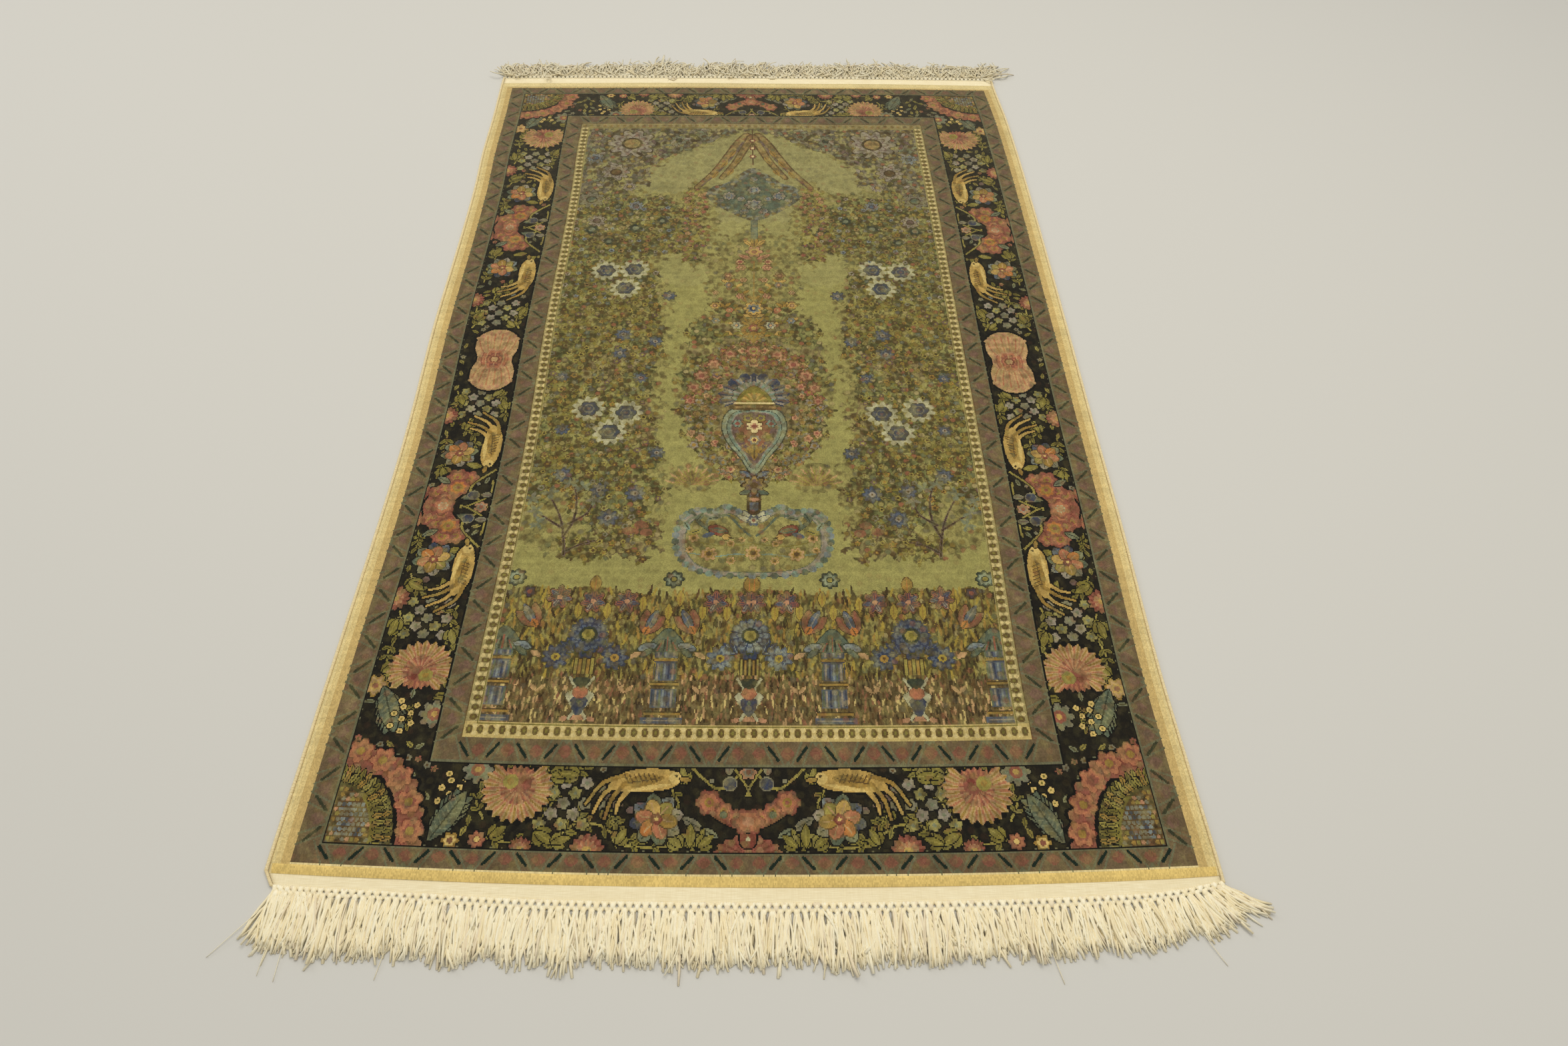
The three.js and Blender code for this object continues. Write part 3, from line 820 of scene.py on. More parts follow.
def side_half(pen, stretch):
    """From the middle of a side border to its corner: x from the middle, y from the outer edge"""

    def at(x, y, turn=0.0, flip=False):
        return pen.at(x * stretch, y, turn, 1.0, flip)

    for x, y, leaves, size, points in (
        (0, 0, 4, 12, [(66, 8), (84, 14), (100, 8), (122, 10)]),
        (0, 0, 4, 11, [(66, 76), (84, 70), (98, 78), (112, 80)]),
        (0, 0, 4, 12, [(118, 34), (136, 30), (150, 44), (166, 48)]),
        (150, 8, 3, 12, [(0, 0), (16, 2), (32, 6)]),
        (198, 12, 3, 11, [(0, 4), (12, 0), (24, 2)]),
        (316, 10, 3, 11, [(0, 2), (12, -4), (26, 0)]),
        (204, 80, 3, 10, [(0, 0), (16, 2), (26, -6)]),
        (312, 74, 3, 10, [(0, 0), (12, 6), (26, 6)]),
        (376, 6, 3, 12, [(0, 4), (14, 10), (26, 22)]),
        (430, 10, 4, 12, [(0, 0), (16, 6), (34, 4)]),
        (420, 76, 4, 12, [(0, 0), (16, -6), (34, 0), (48, 4)]),
        (500, 10, 5, 11, [(-30, 4), (-12, 0), (8, 6), (22, 8)]),
        (506, 78, 4, 11, [(-26, 2), (-6, 0), (12, 4)]),
        (548, 56, 3, 10, [(0, 0), (12, -6), (24, -4)]),
    ):
        leafy(at(x, y), points, leaves, size)
    grey_dots(at(88, 42))
    grey_dots(at(438, 44))
    pen.disc(124 * stretch, 58, 3.6, "blue_pale", rim=("ink", 1.2))
    pen.disc(384 * stretch, 30, 4.4, "mauve", rim=("ink", 1.2))
    pen.disc(176 * stretch, 14, 4.0, "mauve", rim=("ink", 1.2))
    half_flower(at(113, 0), 17)
    half_flower(at(412, 0), 18)
    for x, y, size, turn in (
        (72, 12, 22, 20), (100, 80, 22, 200), (60, 70, 20, -40), (206, 12, 24, 20), (216, 76, 24, 190),
        (322, 8, 22, 150), (330, 74, 22, -20), (388, 10, 24, 60), (440, 10, 24, -10), (470, 78, 24, 170),
        (452, 74, 22, 20), (512, 10, 22, 130), (540, 74, 20, 80), (140, 30, 22, 160), (400, 56, 20, 200),
    ):
        serrated(pen, x * stretch, y, size, turn)
    heart(at(271, 0))
    lattice(at(271, -10))
    cluster(at(181, 30), 23)
    cluster(at(354, 32), 24)
    gold_bird(at(167, 70, -3))
    gold_bird(at(368, 70, 3, flip=True))
    sunflower(at(499, 51, 90))
    pen.bloom(
        528 * stretch, 7, 14, 7, [(1.0, "gold_deep"), (0.8, "peach"), (0.5, "gold"), (0.25, "rose")],
        rim=("ink", 1.2),
    )
    feathery(at(532, 18, 24), 52, 27)
    pen.bloom(560 * stretch, 79, 17, 8, CORNER_BLOSSOM, rim=("ink", 1.4))
    cream_dots(at(572, 44, 90))


def paint_main_border():
    """The black border with its motifs, and small leaves where it is still bare"""
    band(MAIN_BORDER, "black")
    for flip, stretch in ((False, 1.0), (True, FAR_STRETCH)):
        side_half(Pen(-MAIN_BORDER[2], BORDER_MIDDLE, -90, flip=flip), stretch)
    palmette_pair(Pen(-MAIN_BORDER[2] + 50, BORDER_MIDDLE))
    end_border(Pen(0, MAIN_BORDER[0]))
    end_border(Pen(0, MAIN_BORDER[1], 180, FAR_SQUASH, flip=True))
    near, far, half = MAIN_BORDER
    random = np.random.default_rng(7)
    fill_ground((-half, near), (-INNER_GUARD[2], far), 11, random)
    fill_ground((-half, near), (-76, INNER_GUARD[0]), 11, random)
    fill_ground((-half, INNER_GUARD[1]), (-76, far), 11, random)
    corner(Pen(-MAIN_BORDER[2], MAIN_BORDER[0]))
    corner(Pen(-MAIN_BORDER[2], MAIN_BORDER[1], -90, 0.9))


def paint_frames():
    """The guards and edges, which cut off what the border and the field leave over"""
    whole = (0, CHART_LENGTH, CHART_HALF)
    # The gold edge is painted paler towards its outer rim and over most of the far end: painted sheen
    frame_band(whole, OUTER_GUARD, "edge_pale_and_sheen")
    frame_band((2, CHART_LENGTH - 16, CHART_HALF - 5), OUTER_GUARD, "edge_half_sheen")
    frame_band((2, CHART_LENGTH - 19, CHART_HALF - 10), OUTER_GUARD, "edge_gold")
    # The near lip is painted the lighter gold: painted light against the shade on its rolled edge
    rug.box(-CHART_HALF + 2, 0, 0, OUTER_GUARD[0] - 1.6, "edge_near_painted_light")
    rug.box(-OUTER_GUARD[2], OUTER_GUARD[0] - 1.6, 0, OUTER_GUARD[0], "edge_pale_and_sheen")
    guard(OUTER_GUARD, MAIN_BORDER)
    frame_band(grow(MAIN_BORDER, 3.2), MAIN_BORDER, "guard_green")
    frame_band(grow(MAIN_BORDER, 1.4), MAIN_BORDER, "ink")
    frame_band(grow(INNER_GUARD, 1.6), INNER_GUARD, "ink")
    guard(INNER_GUARD, BEAD_GUARD)
    frame_band(INNER_GUARD, grow(INNER_GUARD, -2), "guard_green")
    bead_guard(BEAD_GUARD, FIELD)


# The field: a panel of vases and columns, then a tall vase in its own dish, flowering
# bushes on both sides, a hanging lamp under the arch, and the spandrels

rng = np.random.default_rng(41)


def rosette(pen, x, y, radius):
    """A dark green ring of petals around a pale flower"""
    rings = [
        (1.0, "teal_dark"), (0.8, "teal"), (0.66, "pale_green"), (0.36, "teal_dark"), (0.24, "olive_pale"),
    ]
    pen.bloom(x, y, radius, 8, rings, depth=0.2)


def daisy(pen, x, y, radius, petals, petal, edge, heart_dye):
    """A flower of dark petals with a line inside their edge"""
    rings = [
        (1.0, "leaf_dark"), (0.94, petal), (0.76, edge), (0.5, petal), (0.28, heart_dye), (0.12, "brown"),
    ]
    pen.bloom(x, y, radius, petals, rings)


def ringed(pen, x, y, radius):
    """A dark blue bloom in a ring of pale petals"""
    pen.bloom(x, y, radius * 1.62, 11, [(1.0, "field_pale"), (0.96, "white")], depth=0.26)
    rings = [(1.0, "leaf_dark"), (0.92, "slate"), (0.56, "grey"), (0.4, "slate"), (0.16, "mauve")]
    pen.bloom(x, y, radius, 6, rings, depth=0.16)


def floret(pen, x, y, radius, petal, heart_dye, edge="brown"):
    """A small flower of five petals, turned at random"""
    pen.bloom(x, y, radius, 5, [(1.0, edge), (0.8, petal), (0.34, heart_dye)], turn=float(rng.uniform(0, 72)))


def small_vase(pen):
    """A waisted pot on a wide foot, with two curled handles"""
    pen.stroke([(-17, 5), (-5, 7), (5, 7), (17, 5)], 5, "pink", rim=("brown", 0.6))
    for own in pen.halves():
        own.stroke([(-6, 44), (-11, 52), (-13, 56)], 3.2, "white", rim=("brown_dark", 0.5))
        own.stroke([(-9, 6), (-4, 16), (-5, 24)], 3.4, "white", rim=("brown_dark", 0.5))
    pen.shape(
        [(-5, 16), (-15, 32), (-14, 37), (-9, 40), (-7, 46), (7, 46), (9, 40), (14, 37), (15, 32), (5, 16)],
        "white", rim=("brown_dark", 0.6),
    )
    pen.shape([(-4, 12), (-9, 30), (9, 30), (4, 12)], "blue_deep")
    pen.disc(0, 38, 8, "salmon", tall=7, rim=("rose", 0.8))
    pen.disc(0, 26, 2.5, "teal")
    pen.shape([(-5, 45), (-9, 55), (9, 55), (5, 45)], "teal_dark")


def column(pen):
    """A grey-blue column with two banded blocks, a dome between wings and a wide base"""
    pen.box(-23, 2, 23, 10, "blue")
    pen.box(-20, 5, 20, 7, "lilac")
    for y, half in ((14, 19), (50, 15), (80, 12)):
        pen.stroke([(-half, y), (half, y)], 3, "gold_deep", rim=("brown_dark", 0.7))
    for low, high, half in ((21, 44, 14), (55, 77, 11), (84, 92, 13)):
        pen.box(-half, low, half, high, "blue")
        for i in range(-3, 4):
            dye = ("blue_pale", "blue_deep", "lilac", "teal")[i % 4]
            pen.box(i * 4.2 - 1.1, low + 1, i * 4.2 + 1.1, high - 1, dye)
    pen.box(-13, 77, 13, 79, "blue_deep")
    pen.shape(
        [(-19, 92), (-20, 100), (-12, 112), (0, 122), (12, 112), (20, 100), (19, 92)], "teal",
        rim=("teal_dark", 1.2),
    )
    for i in range(-4, 5):
        pen.stroke(
            [(i * 3.6, 93), (i * 2.2, 110 - abs(i) * 2.2)], 1.8, ("rose", "teal_pale", "teal_dark")[i % 3],
        )
    for own in pen.halves():
        own.leaf(-12, 100, 22, 11, 196, "blue_pale", vein="blue", rim=("teal_dark", 1))
        own.leaf(-16, 96, 18, 7, 222, "teal", rim=("teal_dark", 0.8))


def bouquet(pen, petal, edge):
    """Blue flowers over a hatched pot, above a small vase"""
    pen.box(-12, 56, 12, 78, "brown_dark")
    for i in range(-2, 3):
        pen.box(i * 4.6 - 1.3, 57, i * 4.6 + 1.3, 77, "gold_deep" if i % 2 else "olive_pale")
    for side in (-1, 1):
        pen.leaf(side * 50, 78, 15, 7, 90 - side * 60, "peach", rim=("leaf_dark", 0.8))
        for spread in (0, 26, -26):
            pen.leaf(
                side * 14, 84, 22, 8, 90 - side * (50 + spread), "blue_deep", vein=edge,
                rim=("leaf_dark", 0.7),
            )
        daisy(pen, side * 33.5, 78, 17.5, 9, petal, edge, "yellow" if side < 0 else "gold_deep")
    pen.bloom(
        0, 88, 14, 6, [(1.0, "brown_dark"), (0.88, "blue_deep"), (0.5, "teal_dark"), (0.3, "blue")],
        depth=0.26,
    )
    rings = [
        (1.0, "leaf_dark"), (0.96, petal), (0.86, edge), (0.7, petal), (0.6, edge), (0.44, "teal_dark"),
        (0.3, "olive_pale"), (0.14, "olive"),
    ]
    pen.bloom(0, 108, 24, 12, rings, depth=0.14)
    for i in range(12):
        c, s = polar(i * 30 + 15)
        pen.stroke([(c * 11, 108 + s * 11), (c * 22, 108 + s * 22)], 1.8, "blue_deep")


def plum_flower(pen):
    """A dark flower with ragged petals around a pale heart, taller than it is wide"""
    pen.bloom(
        0, 0, 16, 7, [(1.0, "brown_dark"), (0.92, "russet"), (0.78, "plum"), (0.5, "mauve")], turn=90,
        tall=1.12,
    )
    for i in range(7):
        turn = i * 51.4 + 90
        dye = ("rose", "blue", "rose", "lilac")[i % 4]
        pen.leaf(*polar(turn, 3), 12, 4.2, turn, dye, vein="plum")
    pen.bloom(0, 0, 4.6, 5, [(1.0, "plum"), (0.8, "pink")], depth=0.2)


def strokes(low, high, pitch, dyes, length, width, lean):
    """Short upright strokes in loose rows, as thin stems and grasses"""
    rows, columns = int((high[1] - low[1]) / (length * 0.8)) + 1, int((high[0] - low[0]) / pitch) + 1
    for row in range(rows):
        for i in range(columns):
            x = low[0] + (i + 0.5 * (row % 2) + float(rng.uniform(-0.4, 0.4))) * pitch
            y = low[1] + (row + float(rng.uniform(-0.4, 0.4))) * length * 0.8
            dye = dyes[int(rng.integers(len(dyes)))]
            turn = 90 + float(rng.uniform(-lean, lean))
            rug.leaf(x, y, length * float(rng.uniform(0.8, 1.3)), width, turn, dye, blunt=0.4)


def panel():
    """The garden along the near end of the field"""
    rug.box(-FIELD[2], FIELD[0], 0, 226, "soil")
    crest = [
        (-300, 224), (-300, 336), (-262, 348), (-240, 340), (-187, 348), (-140, 338), (-94, 334),
        (-50, 340), (0, 348), (10, 348), (10, 224),
    ]
    rug.shape(crest, "panel_gold", round_it=False)
    strokes(
        (-294, 168), (4, 224), 3.9,
        ("brown_dark", "tan", "brown", "bead_ground", "russet", "peach", "brown", "brown_dark"), 9.5, 2.5,
        18,
    )
    strokes(
        (-294, 226), (4, 330), 5.4,
        ("brown_dark", "gold_deep", "leaf_dark", "yellow", "olive_pale", "brown", "brown_dark"), 13, 3.2,
        24,
    )
    for x in (-235, -138, -55):
        for lean in (48, 132):
            rug.leaf(x, 206, 13, 5, lean, "peach", rim=("brown", 0.6))
    for x in (-283, -95):
        column(Pen(x, FIELD[0]))
    for x, edge, petal in ((-187, "blue", "blue_deep"), (0, "blue_pale", "blue")):
        bouquet(Pen(x, FIELD[0] + 5), petal, edge)
        small_vase(Pen(x, FIELD[0] + 1))
    for x, y, lean in ((-258, 305, 32), (-116, 298, -22), (-73, 299, 26)):
        flower = Pen(x, y, lean)
        for side in (-1, 1):
            flower.leaf(side * 2, -17, 32, 13, 90 - side * 17, "russet", vein="rose", rim=("brown_dark", 0.9))
        flower.leaf(0, -14, 32, 10, 90, "blue", vein="lilac", rim=("brown_dark", 0.8))
        flower.leaf(0, -19, 13, 9, 90, "orange", vein="brown")
    floret(rug, -264, 338, 9, "plum", "rose", "brown_dark")
    for x, y in (
        (-203, 312), (-169, 312), (-97, 311), (-57, 312), (-28, 310), (-240, 322), (-128, 322), (-84, 330),
    ):
        rug.leaf(x, y - 10, 22, 9, 90, "yellow", vein="gold_deep", rim=("brown", 0.8))
    for x in (-227, -187, -147, -42, -3):
        plum_flower(Pen(x, 331 if x == -227 else 326))
    for x in (-187, -3):
        rug.leaf(x, 340, 22, 13, 90, "gold_deep", vein="orange", rim=("brown", 0.9))
    for x in (-283, -94):
        rosette(rug, x, 358, 13)


def ragged(reach):
    """Breaks up every outline painted so far inside the field, as leaves and sprays do"""
    bottom, first = int(FIELD[0] / KNOT_HEIGHT), int((CHART_HALF - FIELD[2]) / KNOT_WIDTH)
    rows, columns = np.mgrid[bottom : int(FIELD[1] / KNOT_HEIGHT) + 1, first:HALF_COLUMNS]
    y, x = rows * KNOT_HEIGHT, columns * KNOT_WIDTH
    across, along = np.zeros(rows.shape), np.zeros(rows.shape)
    for i, length in enumerate((61.0, 33.0, 21.0, 12.0)):
        turn = 0.9 + 2.1 * i
        a, b = math.cos(turn) * math.tau / length, math.sin(turn) * math.tau / length
        across += np.sin(a * x + b * y + 1.3 * np.sin(b * x / 2 - a * y / 3) + i)
        along += np.sin(b * x - a * y + 1.3 * np.sin(a * x / 3 + b * y / 2) + 2 * i)
    from_column = np.clip(columns + across * reach / KNOT_WIDTH, first, HALF_COLUMNS - 1).astype(int)
    from_row = np.clip(rows + along * reach / KNOT_HEIGHT, bottom, rows[-1, 0]).astype(int)
    knots[rows, columns] = knots[from_row, from_column]


def bush_area():
    """The dense bushes of the left side with their thin outer twigs, and the ground of the wreath"""
    outline = [
        (-300, 480), (-262, 486), (-236, 490), (-210, 462), (-180, 436), (-150, 440), (-128, 470),
        (-126, 520), (-134, 560), (-142, 600), (-146, 650), (-140, 700), (-134, 760), (-138, 800),
        (-142, 850), (-152, 900), (-158, 960), (-140, 1010), (-122, 1050), (-124, 1100), (-160, 1130),
        (-200, 1130), (-240, 1150), (-300, 1160),
    ]
    grown = [(x + (14 if x > -290 else 0), 800 + (y - 800) * 1.04) for x, y in outline]
    rug.shape(grown, "field_pale")
    rug.shape(
        [
            (-150, 1080), (-120, 1150), (-84, 1170), (-66, 1100), (-64, 1000), (-80, 950), (-112, 960),
            (-140, 1020),
        ],
        "field_pale",
    )
    rug.shape(
        [(-300, 1090), (-230, 1140), (-160, 1230), (-120, 1262), (-150, 1290), (-300, 1250)], "field_pale",
    )
    rug.disc(0, 920, 74, "field_pale", tall=130)
    rug.shape(
        [(-300, 1080), (-244, 1112), (-204, 1144), (-180, 1186), (-172, 1236), (-300, 1240)], "spandrel",
    )
    rug.shape(outline, "bush")
    for x, y, wide, tall in (
        (-250, 800, 40, 60), (-200, 860, 50, 30), (-270, 640, 24, 50), (-160, 820, 20, 40),
        (-240, 570, 50, 26), (-150, 1010, 20, 40),
    ):
        rug.disc(x, y, wide, "bush_gold", tall=tall, turn=20)
    for x, y, wide, tall in (
        (-210, 720, 60, 26), (-160, 620, 26, 40), (-250, 1030, 30, 40), (-110, 1000, 16, 34),
        (-104, 1090, 18, 34),
    ):
        rug.disc(x, y, wide, "bush_rose", tall=tall, turn=10)
    for x, y, wide, tall, dye in (
        (-250, 434, 44, 46, "field_pale"), (-160, 414, 44, 26, "bush_rose"), (-196, 470, 30, 40, "bush"),
        (-214, 404, 30, 18, "bush_gold"),
    ):
        rug.disc(x, y, wide, dye, tall=tall)
    crown = [(0, 536), (-36, 548), (-78, 590), (-98, 650), (-100, 730), (-84, 800), (-50, 850), (0, 872)]
    crown = mirrored(crown)
    rug.shape([(x * 1.1, 700 + (y - 700) * 1.05) for x, y in crown], "field_pale")
    rug.shape(crown, "crown")
    for x, y, wide, tall in (
        (-84, 700, 22, 50), (-70, 790, 26, 34), (-40, 840, 30, 20), (-88, 620, 16, 40), (-20, 790, 20, 16),
    ):
        rug.disc(x, y, wide, "bush", tall=tall)
    for x, y, wide, tall in ((-92, 660, 10, 24), (-50, 560, 26, 16), (-60, 760, 14, 12)):
        rug.disc(x, y, wide, "field_pale", tall=tall)
    ragged(3.4)


def bush_flowers():
    """Small flowers and leaves in loose rows over the bushes"""
    kinds = (
        ("olive_pale", "brown"), ("gold_deep", "olive"), ("olive_pale", "brown_dark"),
        ("gold_deep", "brown"), ("grey", "leaf_dark"), ("mauve", "olive_pale"), ("teal", "grey"),
        ("olive_pale", "gold_deep"), ("field_pale", "brown"), ("brown", "gold_deep"),
    )
    bush = [DYE_INDEX[dye] for dye in ("bush", "bush_gold", "bush_rose", "crown")]
    for row in range(56):
        for column_at in range(14):
            x = -292 + column_at * 14.5 + (row % 2) * 7 + float(rng.uniform(-3, 3))
            y = 384 + row * 14 + float(rng.uniform(-3, 3))
            radius = float(rng.uniform(3.6, 6.4))
            kind = kinds[int(rng.integers(len(kinds)))]
            if y > 860 and row % 2:
                kind = (("lilac", "leaf_dark"), ("blue_pale", "slate"), ("tan", "brown_dark"))[column_at % 3]
            leaf_turn = float(rng.uniform(0, 360))
            at_row, at_column = int(y / KNOT_HEIGHT), int((x + CHART_HALF) / KNOT_WIDTH)
            if at_column >= HALF_COLUMNS or knots[at_row, at_column] not in bush:
                continue
            for side in (0, 150):
                rug.leaf(x, y, radius * 2.2, radius * 0.9, leaf_turn + side, "leaf_dark" if side else "olive")
            floret(rug, x, y, radius, *kind)


def shrubs():
    """Bare twigs with grey-green leaves that stand before the bushes"""
    for points in (
        [(-232, 392), (-236, 420), (-244, 450), (-262, 486)],
        [(-236, 420), (-226, 450), (-228, 486), (-240, 520)],
        [(-238, 432), (-258, 446), (-276, 458)],
        [(-232, 440), (-212, 456), (-204, 476)],
        [(-230, 398), (-214, 408), (-196, 414)],
    ):
        rug.stroke(points, 4.4, "mauve", tip=0.5)
        rug.stroke(points, 2.2, "brown_dark", tip=0.4)
    for x, y in (
        (-262, 490), (-250, 524), (-276, 460), (-204, 480), (-238, 506), (-270, 440), (-220, 500),
        (-284, 480),
    ):
        for i in range(5):
            rug.leaf(
                x, y, 12, 5, i * 72 + float(rng.uniform(0, 60)),
                ("teal_pale", "teal_pale", "grey")[int(rng.integers(3))],
            )
    for x, y in ((-142, 440), (-156, 430), (-134, 428)):
        rug.disc(x, y, 8, "russet", tall=6)


def field_blooms():
    """The larger flowers of the bushes: pale rings in threes, and dark daisies"""
    for group in (((-228, 639), (-176, 632), (-196, 596)), ((-229, 936), (-185, 940), (-196, 895))):
        for x, y in group:
            ringed(rug, x, y, 15)
    for x, y, radius in (
        (-153, 490, 15), (-184, 450, 15), (-200, 495, 13), (-130, 560, 12), (-190, 790, 14),
        (-143, 776, 12), (-192, 750, 13), (-260, 600, 11), (-250, 520, 13), (-128, 878, 12),
        (-270, 700, 10), (-160, 700, 11),
    ):
        daisy(rug, x, y, radius, 8, "slate", "blue", "lilac")
    for x, y, radius in (
        (-192, 1045, 13), (-150, 1065, 11), (-110, 1037, 10), (-262, 1040, 13), (-232, 1010, 10),
        (-225, 1105, 9),
    ):
        rug.bloom(x, y, radius, 7, [(1.0, "leaf_dark"), (0.85, "teal_dark"), (0.4, "teal_pale")], depth=0.24)


def dish():
    """The footed dish below the vase, with birds on its rim"""
    outline = [
        (0, 364), (-40, 365), (-74, 374), (-92, 396), (-97, 424), (-90, 452), (-72, 464), (-48, 462),
        (-36, 470), (-20, 462), (0, 448),
    ]
    outline = mirrored(outline)
    rug.shape(outline, "lilac", rim=("teal_dark", 1.4))
    for i, (x, y) in enumerate(smooth(outline, 3)):
        if x <= 4:
            rug.disc(x, y, 4.8, ("blue_pale", "aqua", "teal")[i % 3])
    inner = [(x * 0.87, 410 + (y - 412) * 0.83) for x, y in outline]
    rug.shape(inner, "field_pale", rim=("teal", 1.2))
    rug.stroke([(-80, 398), (-50, 392), (-20, 396), (0, 392)], 1.8, "aqua")
    rug.stroke([(-78, 416), (-40, 408), (0, 412)], 1.6, "olive")
    for x, y, radius in (
        (-54, 396, 12), (0, 398, 12), (-27, 386, 7), (-74, 420, 8), (-28, 412, 6), (-78, 402, 6),
        (-14, 418, 5),
    ):
        rug.bloom(x, y, radius, 7, [(1.0, "olive"), (0.88, "peach"), (0.56, "gold_deep"), (0.3, "brown")])
    # The bird on the left looks to the middle
    bird = Pen(-46, 432)
    bird.stroke([(-4, -2), (-22, 12), (-30, 26)], 7, "teal", tip=0.4, rim=("brown_dark", 0.8))
    bird.disc(2, 0, 13, "rose_deep", tall=7.5, turn=-25, rim=("brown_dark", 1))
    bird.leaf(-8, 2, 22, 8, -10, "teal", vein="russet")
    bird.disc(12, -10, 4.8, "gold", rim=("brown_dark", 0.8))
    bird.leaf(14, -10, 8, 3.4, -20, "brown_dark")
    bird.leaf(-2, -4, 18, 7, 200, "blue")
    for points, dye in (
        ([(-4, 424), (-16, 436), (-30, 454), (-44, 456)], "teal"),
        ([(-88, 440), (-76, 452), (-58, 454), (-60, 440)], "teal_pale"),
    ):
        rug.stroke(points, 3.2, dye)
    for x, y, turn, dye in (
        (-72, 446, 60, "teal"), (-80, 432, 120, "aqua"), (-58, 450, 10, "teal_pale"),
        (-66, 432, 200, "olive_pale"),
    ):
        rug.leaf(x, y, 16, 7, turn, dye, vein="teal_dark")
    for turn in range(-60, 61, 24):
        rug.leaf(0, 444, 24, 8, 90 + turn, "white" if turn % 48 else "blue_pale", rim=("blue_deep", 0.9))
    rug.bloom(0, 448, 9, 6, [(1.0, "blue"), (0.6, "white"), (0.3, "rose")])


def vase():
    """The pear-shaped vase, its stem and the blue fan over it"""
    rug.stroke([(0, 466), (0, 535)], 18, "brown_dark")
    rug.stroke([(0, 468), (0, 540)], 11, "blue")
    rug.bloom(0, 505, 18, 8, [(1.0, "brown_dark"), (0.86, "tan"), (0.6, "mauve"), (0.3, "brown")])
    rug.disc(0, 482, 10, "brown", tall=5)
    rug.disc(0, 482, 7, "pink", tall=3)
    for own in rug.halves():
        own.leaf(-4, 520, 18, 8, 150, "blue", vein="blue_pale", rim=("brown_dark", 0.8))
        own.leaf(-4, 496, 16, 7, 200, "teal", rim=("brown_dark", 0.8))
    body = [(0, 524), (-8, 532), (-18, 552), (-34, 576), (-43, 600), (-42, 622), (-31, 640), (0, 645)]
    body = mirrored(body)
    rug.shape(body, "pale_green", rim=("teal_dark", 1.6))
    middle = [(x * 0.84, 594 + (y - 594) * 0.88) for x, y in body]
    rug.shape(middle, "aqua", rim=("teal_dark", 1.0))
    inner = [(x * 0.7, 598 + (y - 598) * 0.78) for x, y in body]
    rug.shape(inner, "mauve", rim=("lilac", 1.6))
    rug.shape([(x * 0.7, 596 + (y - 596) * 0.7) for x, y in inner], "russet")
    rug.bloom(0, 609, 13, 7, [(1.0, "brown"), (0.9, "cream"), (0.5, "pink"), (0.26, "rose")], depth=0.34)
    for own in rug.halves():
        own.bloom(-19, 590, 9, 5, [(1.0, "brown"), (0.84, "tan"), (0.4, "olive")])
        own.bloom(-9, 624, 8, 5, [(1.0, "brown"), (0.84, "olive_pale"), (0.4, "mauve")])
        own.bloom(-23, 614, 8, 6, [(1.0, "teal_dark"), (0.84, "aqua"), (0.4, "rose")])
        own.leaf(-6, 560, 18, 8, 120, "gold_deep", vein="brown")
        own.bloom(-12, 572, 6, 5, [(1.0, "tan"), (0.6, "mauve")])
    rug.leaf(0, 548, 34, 11, 90, "gold_deep", vein="brown")
    rug.bloom(0, 584, 9, 6, [(1.0, "lilac"), (0.6, "gold_pale"), (0.3, "rose_deep")])
    # The fan of blue petals
    rug.fan(
        0, 664, 50, -22, 202, 11, ["blue_pale", "mauve", "blue_deep", "lilac"], depth=0.16,
        rim=("blue_deep", 1.2), tall=0.94,
    )
    for x, y in ((-30, 690), (-12, 704)):
        rug.disc(x, y, 8, "blue_deep", tall=6, turn=130)
    rug.fan(0, 664, 32, -14, 194, 9, ["teal_pale", "lilac", "aqua"], depth=0.14, rim=("teal_dark", 0.8))
    rug.shape(
        [(-22, 652), (-22, 664), (-10, 680), (0, 686), (10, 680), (22, 664), (22, 652)], "olive",
        rim=("brown", 1),
    )
    rug.fan(0, 654, 20, 0, 180, 5, ["gold", "olive_pale", "gold_deep"], depth=0.1)
    rug.shape([(-26, 648), (-23, 656), (23, 656), (26, 648)], "olive", round_it=False)
    rug.shape([(-30, 640), (-26, 650), (26, 650), (30, 640)], "brown", round_it=False)
    rug.stroke([(-29, 644), (0, 646), (29, 644)], 4.6, "tan")
    rug.stroke([(-27, 652), (27, 652)], 3.0, "cream")


